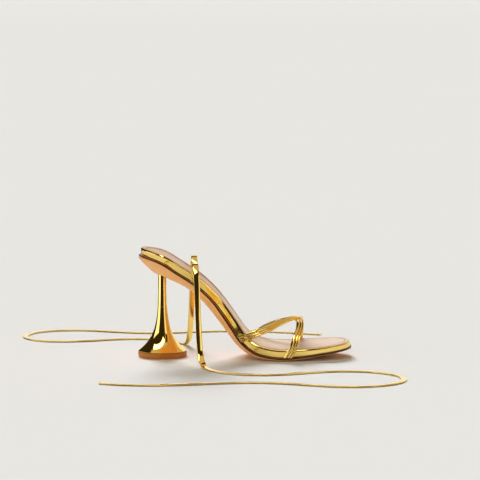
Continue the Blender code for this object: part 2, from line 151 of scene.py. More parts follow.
@dataclass(frozen=True)
class SoleForm:
    """The sole that the last gives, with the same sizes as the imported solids."""

    length: float = 0.2101
    ball_width: float = 0.079
    heel_lift: float = 0.1000
    toe_spring: float = 0.0044
    heel_round: float = 0.0265
    toe_round: float = 0.0300
    toe_squareness: float = 2.3
    arch_lift: float = 0.0010
    arch_centre: float = 0.30
    arch_spread: float = 0.15
    cup_depth: float = 0.0022
    cup_end: float = 0.30
    cup_fade: float = 0.25
    band: float = 0.0078
    band_taper: float = 0.0010
    edge_roll: float = 0.0026
    tread: float = 0.0040
    seat_depth: float = 0.0145
    flange: float = 0.0014
    toe_flange: float = 0.0002
    flange_fade: float = 0.6
    flange_edge: float = 0.0010
    keel_bulge: float = 1.7
    tread_press: float = 0.0006
    gap: float = 0.0003
    setback: float = 0.0213
    ball: float = 0.672
    smoothing: float = 0.022
    least_half: float = 0.002  # half width that the ends count as having
    probe: float = 0.004  # share of the length over which a slope is read
    lean_end: float = 0.14
    lean_start: float = 0.25
    stations: tuple[Station, ...] = (
        Station(0.000, 0.992, 0.00, 0.335, 0.335, 0.93, 1.00, 0.30),
        Station(0.101, 0.935, 0.00, 0.335, 0.335, 0.95, 0.90, 0.36),
        Station(0.205, 0.805, 0.00, 0.314, 0.308, 1.00, 0.48, 0.52),
        Station(0.287, 0.690, 0.00, 0.290, 0.262, 1.00, 0.32, 0.62),
        Station(0.369, 0.525, 0.00, 0.284, 0.238, 0.98, 0.34, 0.66),
        Station(0.451, 0.290, 0.00, 0.345, 0.274, 0.98, 0.24, 0.72),
        Station(0.512, 0.110, 0.00, 0.423, 0.352, 1.00, 0.12, 0.80),
        Station(0.573, 0.030, 0.00, 0.474, 0.424, 1.00, 0.05, 0.86),
        Station(0.672, 0.000, 0.00, 0.501, 0.492, 0.98, 0.00, 0.90),
        Station(0.767, 0.000, 0.10, 0.478, 0.499, 0.86, 0.00, 0.91),
        Station(0.880, 0.000, 0.47, 0.408, 0.460, 0.68, 0.00, 0.90),
        Station(1.000, 0.000, 1.00, 0.345, 0.437, 0.58, 0.00, 0.86),
    )

    @lru_cache(maxsize=None)
    def value(self, column: str, along: float) -> float:
        """Read a column of the stations, averaged over a short stretch.

        Args:
            column: Name of the column.
            along: Share of the length from the heel rim.

        Returns:
            The column's value there.
        """
        keys = [row.along for row in self.stations]
        values = [getattr(row, column) for row in self.stations]
        reach = min(self.smoothing, along, 1 - along) if 0 < along < 1 else 0.0
        total = 0.0
        for step in range(-4, 5):
            total += (5 - abs(step)) * through(keys, values, along + reach * step / 4)
        return total / 25

    @lru_cache(maxsize=None)
    def rim_share(self, along: float) -> float:
        """How much of its full width the sole has, as it closes round the heel and the toe."""
        from_heel = along * self.length / self.heel_round
        from_toe = (1 - along) * self.length / self.toe_round
        share = 1.0
        if from_heel < 1:
            share *= math.sqrt(max(1 - (1 - from_heel) ** 2, 0.0))
        if from_toe < 1:
            share *= max(1 - (1 - from_toe) ** self.toe_squareness, 0.0) ** (1 / self.toe_squareness)
        return share

    def band_at(self, along: float) -> float:
        """Height of the footbed's gold side, from its top edge to the seam."""
        return self.band * self.value("thin", along)

    def sole_at(self, along: float) -> float:
        """Thickness of the outsole, from the seam to its underside."""
        seat = self.value("seat", along) * self.rim_share(along) ** 2
        return self.tread * self.value("thin", along) + (self.seat_depth - self.tread) * seat

    @lru_cache(maxsize=None)
    def edge(self, along: float) -> float:
        """Height above the floor of the footbed's top edge."""
        under_ball = self.band_at(self.ball) + self.gap + self.sole_at(self.ball) - self.tread_press
        lift = self.heel_lift * self.value("rise", along)
        return under_ball + lift + self.toe_spring * self.value("spring", along)

    @lru_cache(maxsize=None)
    def stack(self, along: float) -> Vector:
        """Direction in which the sole's layers are stacked."""
        low, high = max(along - self.probe, 0.0), min(along + self.probe, 1.0)
        slope = math.atan2(self.edge(high) - self.edge(low), (high - low) * self.length)
        slope *= self.lean_start + (1 - self.lean_start) * smoothstep(along / self.lean_end)
        return Vector((-math.sin(slope), 0.0, math.cos(slope)))

    def lip(self, along: float) -> float:
        """How far the outsole's rim stands out past the footbed."""
        faded = smoothstep((along - self.flange_fade) / (1 - self.flange_fade))
        return self.flange + (self.toe_flange - self.flange) * faded

    def point(self, along: float, across: float, depth: float, grow: float = 0.0) -> Vector:
        """A point of the sole.

        Args:
            along: Share of the length from the heel rim.
            across: From -1 at the lateral rim to 1 at the medial rim.
            depth: Distance down from the top edge.
            grow: How far the outline stands out past the footbed's.

        Returns:
            The point.
        """
        share = self.rim_share(along)
        lateral_share, medial_share = self.value("lateral", along), self.value("medial", along)
        lateral = (self.ball_width * lateral_share + grow) * share
        medial = (self.ball_width * medial_share + grow) * share
        middle = self.ball_width * (medial_share - lateral_share) / 2
        x = along * (self.length + 2 * grow) - grow - self.setback
        place = Vector((x, middle + (lateral + medial) / 2 * across, self.edge(along)))
        return place - self.stack(along) * depth

    def share_at(self, x: float) -> float:
        """Share of the length at a place along X."""
        return round(min(max((x + self.setback) / self.length, 0.0), 1.0), 7)

    def dip(self, along: float, across: float) -> float:
        """How far the footbed's top lies below its lateral edge."""
        faded = 1 - smoothstep((along - self.cup_end) / self.cup_fade)
        cup = self.cup_depth * (1 - across * across) * faded * self.rim_share(along) ** 2
        arch = self.arch_lift * math.exp(-(((along - self.arch_centre) / self.arch_spread) ** 2))
        return cup - arch * max(across, 0.0) ** 2

    def on_top(self, x: float, y: float, lift: float) -> Vector:
        """A point above the footbed's top.

        Args:
            x: Place along the sandal.
            y: Place across it.
            lift: Distance above the top, square to the layers.

        Returns:
            The point.
        """
        along = self.share_at(x)
        lateral, medial = self.value("lateral", along), self.value("medial", along)
        half = max(self.ball_width * (lateral + medial) / 2 * self.rim_share(along), self.least_half)
        across = (y - self.ball_width * (medial - lateral) / 2) / half
        drop = self.dip(along, min(max(across, -1.0), 1.0))
        return Vector((x, y, self.edge(along))) + self.stack(along) * (lift - drop)

    def contour(self, inset: Callable[[float], float], depth: Callable[[float], float]) -> list[Vector]:
        """A loop round the sole.

        Args:
            inset: Distance in from the footbed's outline, at a share of the length.
            depth: Distance down from its top edge, at a share of the length.

        Returns:
            The loop's points, in the order of the outline.
        """
        loop = []
        for at in self.outline():
            start = self.share_at(at.x)
            x, y = at.x + at.inward.x * inset(start), at.y + at.inward.y * inset(start)
            along = self.share_at(x)
            loop.append(self.on_top(x, y, 0.0) - self.stack(along) * depth(along))
        return loop

    def places(self, heel: int, middle: int, toe: int) -> list[float]:
        """Shares of the length where sections are taken, closer together round the ends."""
        heel_end, toe_end = self.heel_round / self.length, self.toe_round / self.length
        first = [heel_end * (1 - math.cos(math.pi / 2 * i / heel)) for i in range(heel)]
        between = [heel_end + (1 - toe_end - heel_end) * i / middle for i in range(middle)]
        last = [1 - toe_end * (1 - math.cos(math.pi / 2 * i / toe)) for i in range(toe, -1, -1)]
        return [round(share, 7) for share in first + between + last]

    @lru_cache(maxsize=None)
    def outline(self) -> tuple[PlanPoint, ...]:
        """Footbed's outline from the heel along the lateral side to the toe and back, as plan points."""
        shares = self.places(22, 100, 30)
        lateral = [self.point(share, -1, 0.0) for share in shares]
        medial = [self.point(share, 1, 0.0) for share in reversed(shares[1:-1])]
        loop = lateral + medial
        points = []
        for i, place in enumerate(loop):
            ahead = loop[(i + 1) % len(loop)] - loop[i - 1]
            inward = Vector((-ahead.y, ahead.x)).normalized()
            points.append(PlanPoint(place.x, place.y, inward))
        return tuple(points)


SOLE = SoleForm()


class Bench:
    """Nodes of one material, world or group, added by kind with their inputs set by name."""

    def __init__(self, tree: bpy.types.NodeTree) -> None:
        """Take a node tree to work on."""
        self.tree = tree

    def add(self, kind: str, settings: dict[str, object] | None = None, **inputs: object) -> bpy.types.Node:
        """Add a node.

        Args:
            kind: Node type without the leading ShaderNode.
            settings: Attributes of the node, such as its operation.
            inputs: Input sockets by name, spaces as underscores, each a value or an output socket.

        Returns:
            The node.
        """
        node = self.tree.nodes.new("ShaderNode" + kind)
        for name, value in (settings or {}).items():
            setattr(node, name, value)
        for name, value in inputs.items():
            self.feed(node.inputs[name.replace("_", " ")], value)
        return node

    def feed(self, socket: bpy.types.NodeSocket, value: object) -> None:
        """Link an output socket to an input, or set the input's own value."""
        if isinstance(value, bpy.types.NodeSocket):
            self.tree.links.new(value, socket)
        else:
            socket.default_value = value

    def math(self, operation: str, *values: object, clamp: bool = False) -> bpy.types.NodeSocket:
        """Add a Math node and return its output."""
        node = self.add("Math", {"operation": operation, "use_clamp": clamp})
        for socket, value in zip(node.inputs, values):
            self.feed(socket, value)
        return node.outputs[0]

    def ramp(
        self, value: object, low: float, high: float, start: float = 0.0, end: float = 1.0
    ) -> bpy.types.NodeSocket:
        """Map a range of values to another one with soft ends and return the output."""
        node = self.add("MapRange", {"interpolation_type": "SMOOTHSTEP"})
        for name, number in (("From Min", low), ("From Max", high), ("To Min", start), ("To Max", end)):
            node.inputs[name].default_value = number
        self.feed(node.inputs["Value"], value)
        return node.outputs[0]

    def blend(self, share: object, first: object, second: object) -> bpy.types.NodeSocket:
        """Mix two colours and return the output."""
        node = self.add("Mix", {"data_type": "RGBA"})
        self.feed(node.inputs[0], share)
        self.feed(node.inputs[6], first)
        self.feed(node.inputs[7], second)
        return node.outputs[2]


class Effects:
    """Node groups that several finishes share, each built once."""

    @staticmethod
    def _group(
        name: str, inputs: dict[str, float | None], outputs: Sequence[str]
    ) -> tuple[Bench, bpy.types.Node, bpy.types.Node]:
        """Make an empty group with number outputs.

        Args:
            name: Group's name.
            inputs: Input names with their defaults, or None for a vector.
            outputs: Output names.

        Returns:
            Its bench, its input node and its output node.
        """
        group = bpy.data.node_groups.new(name, "ShaderNodeTree")
        for label, default in inputs.items():
            kind = "NodeSocketFloat" if default is not None else "NodeSocketVector"
            socket = group.interface.new_socket(label, in_out="INPUT", socket_type=kind)
            if default is not None:
                socket.default_value = default
        for label in outputs:
            group.interface.new_socket(label, in_out="OUTPUT", socket_type="NodeSocketFloat")
        return Bench(group), group.nodes.new("NodeGroupInput"), group.nodes.new("NodeGroupOutput")

    @staticmethod
    @lru_cache(maxsize=None)
    def handling() -> bpy.types.NodeTree:
        """Hairline scratches and soft finger smudges, as two masks."""
        bench, given, made = Effects._group(
            "handling_marks", {"Scratch Scale": 90.0, "Smudge Scale": 22.0}, ("Scratches", "Smudges")
        )
        place = bench.add("TexCoord").outputs["Object"]
        stretched = bench.add("Mapping", Vector=place, Scale=(1.0, 5.0, 0.6), Rotation=(0.2, 0.5, 0.9))
        lines = bench.add(
            "TexNoise", Vector=stretched.outputs[0], Scale=given.outputs[0], Detail=6.0, Roughness=0.72
        )
        apart = bench.math("ABSOLUTE", bench.math("SUBTRACT", lines.outputs[0], 0.5))
        fine = bench.ramp(apart, 0.0, 0.012, 1.0, 0.0)
        patches = bench.add("TexNoise", Vector=place, Scale=7.0, Detail=1.0)
        where = bench.ramp(patches.outputs[0], 0.50, 0.68)
        bench.feed(made.inputs[0], bench.math("MULTIPLY", fine, where))
        smudge = bench.add("TexNoise", Vector=place, Scale=given.outputs[1], Detail=3.0, Roughness=0.55)
        bench.feed(made.inputs[1], bench.ramp(smudge.outputs[0], 0.42, 0.72))
        return bench.tree

    @staticmethod
    @lru_cache(maxsize=None)
    def grain() -> bpy.types.NodeTree:
        """Pebbled grain of leather or moulded rubber, as a height and a mask of its creases."""
        bench, given, made = Effects._group(
            "pebbled_grain", {"Scale": 900.0, "Softness": 0.5}, ("Height", "Creases")
        )
        place = bench.add("TexCoord").outputs["Object"]
        sway = bench.add("TexNoise", Vector=place, Scale=160.0, Detail=2.0)
        moved = bench.add(
            "MixRGB", {"blend_type": "LINEAR_LIGHT"}, Fac=0.0015, Color1=place, Color2=sway.outputs[1]
        )
        cells = bench.add(
            "TexVoronoi", {"feature": "DISTANCE_TO_EDGE"}, Vector=moved.outputs[0], Scale=given.outputs[0]
        )
        crease = bench.math("SUBTRACT", 1.0, bench.ramp(cells.outputs[0], 0.0, 0.22))
        fine = bench.add("TexNoise", Vector=place, Scale=2400.0, Detail=3.0)
        softened = bench.math("MULTIPLY", fine.outputs[0], given.outputs[1])
        bench.feed(made.inputs[0], bench.math("SUBTRACT", softened, crease))
        bench.feed(made.inputs[1], crease)
        return bench.tree

    @staticmethod
    @lru_cache(maxsize=None)
    def ripple() -> bpy.types.NodeTree:
        """Shallow waves of foil that is glued over padding, as a height."""
        bench, given, made = Effects._group("foil_ripple", {"Scale": 60.0, "Fine": 0.2}, ("Height",))
        place = bench.add("TexCoord").outputs["Object"]
        broad = bench.add("TexNoise", Vector=place, Scale=given.outputs[0], Detail=1.0, Roughness=0.4)
        small = bench.add("TexNoise", Vector=place, Scale=520.0, Detail=2.0)
        bench.feed(
            made.inputs[0],
            bench.math("ADD", broad.outputs[0], bench.math("MULTIPLY", small.outputs[0], given.outputs[1])),
        )
        return bench.tree


@dataclass(frozen=True)
class Panel:
    """A lit or dark area of the studio, by the direction in which it lies."""

    left: float  # degrees of turn, 0 towards the camera and 90 towards the toe
    right: float
    low: float  # degrees above the floor
    high: float
    strength: float
    warm: float = 0.0  # share of warm bounce in it


@dataclass(frozen=True)
class StudioPanels:
    """Soft boxes, bounce and backdrop as seen from the sandal."""

    dark: float = 0.03
    soft: float = 2.5  # degrees over which an edge fades, to either side
    panels: tuple[Panel, ...] = (
        Panel(-104, -50, -95, 31, 1.7),
        Panel(39, 60, -95, 34, 1.1),
        Panel(62, 150, -95, 95, 0.60, 0.85),
    )
    backdrop: Panel = Panel(-14, 42, 0, 34, 1.0)  # its turn is from the far side towards the toe
    overhead: float = 0.60
    overhead_rise: tuple[float, float] = (56.0, 62.0)  # degrees over which it sets in
    overhead_side: tuple[float, float] = (0.12, 0.18)  # where it ends beside the strip
    overhead_warmth: float = 0.5
    strip: float = 4.6
    strip_rise: tuple[float, float] = (30.0, 34.0)
    strip_way: tuple[float, float] = (0.696, 0.717)  # direction across the strip, seen from above
    strip_beside: tuple[float, float] = (0.17, 0.42)
    strip_length: tuple[float, float] = (-0.56, 0.42)
    strip_soft: tuple[float, float] = (0.03, 0.04)

    def group(self) -> bpy.types.NodeTree:
        """Build the group that gives the studio's light and warmth in a direction."""
        bench, given, made = Effects._group("studio_panels", {"Direction": None}, ("Light", "Warmth"))
        unit = bench.add("VectorMath", {"operation": "NORMALIZE"})
        bench.feed(unit.inputs[0], given.outputs[0])
        x, y, z = bench.add("SeparateXYZ", Vector=unit.outputs[0]).outputs
        flipped = bench.math("MULTIPLY", y, -1.0)
        turn = bench.math("MULTIPLY", bench.math("ARCTAN2", x, flipped), 180 / math.pi)
        back = bench.math("MULTIPLY", bench.math("ARCTAN2", x, y), 180 / math.pi)
        rise = bench.math("MULTIPLY", bench.math("ARCSINE", z), 180 / math.pi)

        def mask(value: bpy.types.NodeSocket, low: float, high: float, soft: float) -> bpy.types.NodeSocket:
            """1 between two limits, with soft edges."""
            start = bench.ramp(value, low - soft, low + soft)
            return bench.math("MULTIPLY", start, bench.ramp(value, high - soft, high + soft, 1.0, 0.0))

        def area(panel: Panel, way: bpy.types.NodeSocket) -> bpy.types.NodeSocket:
            """1 inside a panel."""
            sides = mask(way, panel.left, panel.right, self.soft)
            return bench.math("MULTIPLY", sides, mask(rise, panel.low, panel.high, self.soft))

        light: object = self.dark
        warmth: object = 1.0
        for panel in self.panels:
            shown = area(panel, turn)
            light = bench.math("MULTIPLY_ADD", shown, panel.strength, light)
            cooled = bench.math("MULTIPLY", shown, 1.0 - panel.warm)
            warmth = bench.math("MULTIPLY", warmth, bench.math("SUBTRACT", 1.0, cooled))
        shown = area(self.backdrop, back)
        light = bench.math("MAXIMUM", light, bench.math("MULTIPLY", shown, self.backdrop.strength))
        warmth = bench.math("MULTIPLY", warmth, bench.math("SUBTRACT", 1.0, shown))
        a, b = self.strip_way
        beside = bench.math("ADD", bench.math("MULTIPLY", x, -a), bench.math("MULTIPLY", y, -b))
        length = bench.math("ADD", bench.math("MULTIPLY", x, -b), bench.math("MULTIPLY", y, a))
        beyond = bench.ramp(beside, *self.overhead_side, 1.0, 0.0)
        over = bench.math("MULTIPLY", bench.ramp(rise, *self.overhead_rise), beyond)
        light = bench.math("MAXIMUM", light, bench.math("MULTIPLY", over, self.overhead))
        cooled = bench.math("MULTIPLY_ADD", over, self.overhead_warmth - 1.0, 1.0)
        warmth = bench.math("MULTIPLY", warmth, cooled)
        sides = mask(beside, *self.strip_beside, self.strip_soft[0])
        ends = mask(length, *self.strip_length, self.strip_soft[1])
        strip = bench.math("MULTIPLY", sides, ends)
        strip = bench.math("MULTIPLY", strip, bench.ramp(rise, *self.strip_rise))
        bench.feed(made.inputs[0], bench.math("MULTIPLY_ADD", strip, self.strip, light))
        unlit = bench.math("SUBTRACT", 1.0, strip)
        bench.feed(made.inputs[1], bench.math("MULTIPLY", warmth, unlit, clamp=True))
        return bench.tree


def principled(name: str) -> tuple[bpy.types.Material, Bench, bpy.types.Node]:
    """Make a material with its Principled shader.

    Args:
        name: Material's name.

    Returns:
        The material, a bench on its nodes and its shader.
    """
    material = bpy.data.materials.new(name)
    material.use_nodes = True
    bench = Bench(material.node_tree)
    return material, bench, material.node_tree.nodes["Principled BSDF"]


@dataclass(frozen=True)
class MirrorGold:
    """Mirror gold, as foil over padding or as plating on a moulded heel."""

    name: str
    colour: tuple[float, float, float] = (0.98, 0.72, 0.215)
    shade: tuple[float, float, float] = (0.90, 0.60, 0.15)
    roughness: float = 0.045
    smudge: float = 0.07
    ripple_scale: float = 60.0
    ripple_depth: float = 0.00014
    fine_ripple: float = 0.05

    def make(self) -> bpy.types.Material:
        """Build the material."""
        material, bench, shader = principled(self.name)
        marks = bench.add("Group", {"node_tree": Effects.handling()})
        waves = bench.add("Group", {"node_tree": Effects.ripple()})
        waves.inputs["Scale"].default_value = self.ripple_scale
        waves.inputs["Fine"].default_value = self.fine_ripple
        tone = bench.math("MULTIPLY", marks.outputs["Smudges"], 0.5)
        bench.feed(shader.inputs["Base Color"], bench.blend(tone, (*self.colour, 1), (*self.shade, 1)))
        rough = bench.math("MULTIPLY_ADD", marks.outputs["Smudges"], self.smudge, self.roughness)
        rough = bench.math("MULTIPLY_ADD", marks.outputs["Scratches"], 0.05, rough, clamp=True)
        bench.feed(shader.inputs["Roughness"], rough)
        shader.inputs["Metallic"].default_value = 1.0
        bump = bench.add("Bump", Strength=1.0, Distance=self.ripple_depth, Height=waves.outputs["Height"])
        bench.feed(shader.inputs["Normal"], bump.outputs[0])
        return material


@dataclass(frozen=True)
class SoftLining:
    """Nude lining of the footbed, matt and lightly padded."""

    name: str = "nude_lining"
    # The heel colour is darker and the forefoot colour lighter, partly the lining's own tone and partly painted
    # light: painted shade at the heel, painted sheen at the forefoot.
    heel: tuple[float, float, float] = (0.70, 0.40, 0.22)
    forefoot: tuple[float, float, float] = (0.83, 0.64, 0.49)
    change: tuple[float, float] = (0.03, 0.12)  # where the heel's painted shade turns into the forefoot's painted sheen, along X
    shade: tuple[float, float, float] = (0.68, 0.44, 0.28)
    roughness: float = 0.30
    grain_scale: float = 1100.0
    grain_depth: float = 0.00012

    def make(self) -> bpy.types.Material:
        """Build the material."""
        material, bench, shader = principled(self.name)
        grain = bench.add("Group", {"node_tree": Effects.grain()})
        grain.inputs["Scale"].default_value = self.grain_scale
        marks = bench.add("Group", {"node_tree": Effects.handling()})
        tone = bench.math("MULTIPLY", marks.outputs["Smudges"], 0.55)
        # the grain's creases are darkened a quarter towards the shade colour: painted shade in the creases
        tone = bench.math("MULTIPLY_ADD", grain.outputs["Creases"], 0.25, tone, clamp=True)
        place = bench.add("SeparateXYZ", Vector=bench.add("TexCoord").outputs["Object"])
        # lighter towards the forefoot: partly own tone, partly painted sheen, with painted shade at the heel
        forward = bench.ramp(place.outputs[0], *self.change)
        colour = bench.blend(forward, (*self.heel, 1), (*self.forefoot, 1))
        bench.feed(shader.inputs["Base Color"], bench.blend(tone, colour, (*self.shade, 1)))
        rough = bench.math("MULTIPLY_ADD", marks.outputs["Smudges"], 0.12, self.roughness)
        bench.feed(shader.inputs["Roughness"], rough)
        shader.inputs["Sheen Weight"].default_value = 0.15
        bump = bench.add("Bump", Strength=0.5, Distance=self.grain_depth, Height=grain.outputs["Height"])
        bench.feed(shader.inputs["Normal"], bump.outputs[0])
        return material


@dataclass(frozen=True)
class MouldedRubber:
    """Satin sole or heel tip, smooth on its sides and pebbled where it treads."""

    name: str
    colour: tuple[float, float, float]
    shade: tuple[float, float, float]
    roughness: float = 0.36
    grain_scale: float = 620.0
    grain_depth: float = 0.00015

    def make(self) -> bpy.types.Material:
        """Build the material."""
        material, bench, shader = principled(self.name)
        grain = bench.add("Group", {"node_tree": Effects.grain()})
        grain.inputs["Scale"].default_value = self.grain_scale
        marks = bench.add("Group", {"node_tree": Effects.handling()})
        facing = bench.add("NewGeometry").outputs["Normal"]
        down = bench.math("MULTIPLY", bench.add("SeparateXYZ", Vector=facing).outputs[2], -1.0)
        tread = bench.ramp(down, 0.80, 0.96)
        tone = bench.math("MULTIPLY", marks.outputs["Smudges"], 0.6)
        # the faces that look down are blended a quarter towards the shade colour: painted shade under the sole
        # and the tip
        tone = bench.math("MULTIPLY_ADD", tread, 0.25, tone, clamp=True)
        bench.feed(shader.inputs["Base Color"], bench.blend(tone, (*self.colour, 1), (*self.shade, 1)))
        rough = bench.math("MULTIPLY_ADD", tread, 0.22, self.roughness)
        rough = bench.math("MULTIPLY_ADD", marks.outputs["Smudges"], 0.10, rough)
        bench.feed(shader.inputs["Roughness"], rough)
        pressed = bench.math("MULTIPLY_ADD", tread, 0.85, 0.15)
        height = bench.math("MULTIPLY", grain.outputs["Height"], pressed)
        bump = bench.add("Bump", Strength=0.6, Distance=self.grain_depth, Height=height)
        bench.feed(shader.inputs["Normal"], bump.outputs[0])
        return material


@dataclass(frozen=True)
class Thread:
    """Twisted sewing thread."""

    name: str
    colour: tuple[float, float, float]
    shade: tuple[float, float, float]
    twist_scale: float = 900.0
    twist_depth: float = 0.00008

    def make(self) -> bpy.types.Material:
        """Build the material."""
        material, bench, shader = principled(self.name)
        place = bench.add("TexCoord").outputs["Object"]
        plies = bench.add(
            "TexWave", {"bands_direction": "DIAGONAL"}, Vector=place, Scale=self.twist_scale, Distortion=2.0
        )
        # the darker bands between the plies are painted shade in the twist's grooves
        tone = bench.blend(plies.outputs[1], (*self.shade, 1), (*self.colour, 1))
        bench.feed(shader.inputs["Base Color"], tone)
        shader.inputs["Roughness"].default_value = 0.5
        bump = bench.add("Bump", Strength=0.6, Distance=self.twist_depth, Height=plies.outputs[1])
        bench.feed(shader.inputs["Normal"], bump.outputs[0])
        return material


@dataclass
class Wardrobe:
    """All finishes of the sandal, each made once."""

    foil: bpy.types.Material = field(init=False)
    plating: bpy.types.Material = field(init=False)
    lining: bpy.types.Material = field(init=False)
    sole: bpy.types.Material = field(init=False)
    # near-black brown of the ring in the seam under the foil: painted shade of that seam, partly an inked edge
    seam_shade_ink: bpy.types.Material = field(init=False)
    tip: bpy.types.Material = field(init=False)
    gold_thread: bpy.types.Material = field(init=False)
    nude_thread: bpy.types.Material = field(init=False)

    def __post_init__(self) -> None:
        """Make the finishes."""
        self.foil = MirrorGold("mirror_foil").make()
        self.plating = MirrorGold(
            "mirror_plating", roughness=0.03, smudge=0.05, ripple_depth=0.00002, fine_ripple=0.0
        ).make()
        self.lining = SoftLining().make()
        self.sole = MouldedRubber("tan_sole", (0.96, 0.48, 0.155), (0.86, 0.39, 0.11)).make()
        # the ring in the seam under the foil is near-black brown: painted shade of the seam, partly edge ink
        self.seam_shade_ink = MouldedRubber(
            "brown_seam_shade_ink", (0.055, 0.017, 0.005), (0.035, 0.011, 0.003), roughness=0.34
        ).make()
        self.tip = MouldedRubber(
            "brown_tip", (0.52, 0.170, 0.010), (0.40, 0.125, 0.007), roughness=0.5
        ).make()
        self.gold_thread = Thread("gold_thread", (0.80, 0.50, 0.16), (0.35, 0.18, 0.04)).make()
        self.nude_thread = Thread("nude_thread", (0.60, 0.40, 0.27), (0.42, 0.26, 0.16)).make()


def mesh_piece(
    name: str, points: Sequence[Vector], faces: Sequence[Sequence[int]], material: bpy.types.Material
) -> bpy.types.Object:
    """Make a smooth object from points and faces, with doubled points merged.

    Args:
        name: Object's name.
        points: Its corners.
        faces: Its faces, as indices of corners.
        material: Its finish.

    Returns:
        The object, linked to the scene.
    """
    mesh = bpy.data.meshes.new(name)
    mesh.from_pydata([tuple(p) for p in points], [], [tuple(f) for f in faces])
    build = bmesh.new()
    build.from_mesh(mesh)
    bmesh.ops.remove_doubles(build, verts=build.verts, dist=1e-6)
    bmesh.ops.dissolve_degenerate(build, edges=build.edges, dist=1e-7)
    bmesh.ops.recalc_face_normals(build, faces=build.faces)
    build.to_mesh(mesh)
    build.free()
    mesh.materials.append(material)
    mesh.shade_smooth()
    mesh.set_sharp_from_angle(angle=math.radians(50))
    made = bpy.data.objects.new(name, mesh)
    bpy.context.scene.collection.objects.link(made)
    return made


class MeshPlan:
    """Points and faces of one mesh while it is put together."""

    def __init__(self) -> None:
        """Start empty."""
        self.points: list[Vector] = []
        self.faces: list[tuple[int, ...]] = []

    def ring(self, points: Sequence[Vector]) -> list[int]:
        """Add points and return their indices."""
        first = len(self.points)
        self.points.extend(points)
        return list(range(first, len(self.points)))

    def bridge(self, a: Sequence[int], b: Sequence[int], closed: bool = True) -> None:
        """Join two rows of equally many points with quads."""
        count = len(a)
        for i in range(count if closed else count - 1):
            j = (i + 1) % count
            self.faces.append((a[i], a[j], b[j], b[i]))

    def cap(self, ring: Sequence[int]) -> None:
        """Close a ring with one face."""
        self.faces.append(tuple(ring))

    def tube(self, rings: Sequence[Sequence[Vector]]) -> None:
        """Add a closed tube through rings, capped at both ends."""
        rows = [self.ring(points) for points in rings]
        for before, after in zip(rows, rows[1:]):
            self.bridge(before, after)
        self.cap(rows[0])
        self.cap(list(reversed(rows[-1])))

    def ladder(self, loop: Sequence[int], rungs: int, settle: Callable[[Vector], Vector]) -> None:
        """Fill an outline loop with rows from its lateral to its medial side.

        Args:
            loop: Indices of the loop, in the order of SoleForm.outline.
            rungs: Quads across each row.
            settle: Moves a point straight between the sides onto the surface.
        """
        half = len(loop) // 2
        rows = []
        for i in range(1, half):
            start, end = loop[i], loop[-i]
            a, b = self.points[start], self.points[end]
            between = [settle(a.lerp(b, j / rungs)) for j in range(1, rungs)]
            rows.append([start, *self.ring(between), end])
        for before, after in zip(rows, rows[1:]):
            self.bridge(before, after, closed=False)
        self.faces.append((loop[0], *reversed(rows[0])))
        self.faces.append((loop[half], *rows[-1]))

    def make(self, name: str, material: bpy.types.Material) -> bpy.types.Object:
        """Turn the plan into an object."""
        return mesh_piece(name, self.points, self.faces, material)


THREAD_SIDES = 6
STITCH_SINK = 1.1  # how deep a stitch's ends go, in thread radii
# places along a stitch and its thickness there, as shares
THREAD_SHAPE = ((-0.5, 0.35), (-0.34, 0.9), (0.0, 1.1), (0.34, 0.9), (0.5, 0.35))


def stitches(plan: MeshPlan, line: Sequence[PathPoint], pitch: float, length: float, radius: float) -> int:
    """Add a row of short stitches that follows a line.

    Args:
        plan: Mesh that they are added to.
        line: Points of the seam, close together.
        pitch: Distance from one stitch to the next.
        length: Length of a stitch.
        radius: Half the thread's thickness.

    Returns:
        How many stitches were added.
    """
    travelled, due, count = 0.0, pitch / 2, 0
    for before, after in zip(line, line[1:]):
        step = (after.place - before.place).length
        while step > 0 and travelled + step >= due:
            share = (due - travelled) / step
            middle = before.place.lerp(after.place, share)
            ahead = (after.place - before.place).normalized()
            outward = before.outward.lerp(after.outward, share).normalized()
            across = ahead.cross(outward).normalized()
            rings = []
            for at, thick in THREAD_SHAPE:
                sunk = -radius * STITCH_SINK * (abs(at) * 2) ** 3
                centre = middle + ahead * length * at + outward * sunk
                turns = [math.pi * 2 * k / THREAD_SIDES for k in range(THREAD_SIDES)]
                spokes = [across * math.cos(a) + outward * math.sin(a) for a in turns]
                rings.append([centre + spoke * radius * thick for spoke in spokes])
            plan.tube(rings)
            due += pitch
            count += 1
        travelled += step
    return count


def dress(piece: bpy.types.Object, slot: Slot, *nodes: str) -> bpy.types.Object:
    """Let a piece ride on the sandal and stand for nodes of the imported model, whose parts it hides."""
    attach(piece, ROOT)
    if nodes:
        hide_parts(*nodes)
    LOG.info("%s: %d faces", piece.name, len(piece.data.polygons))
    return piece


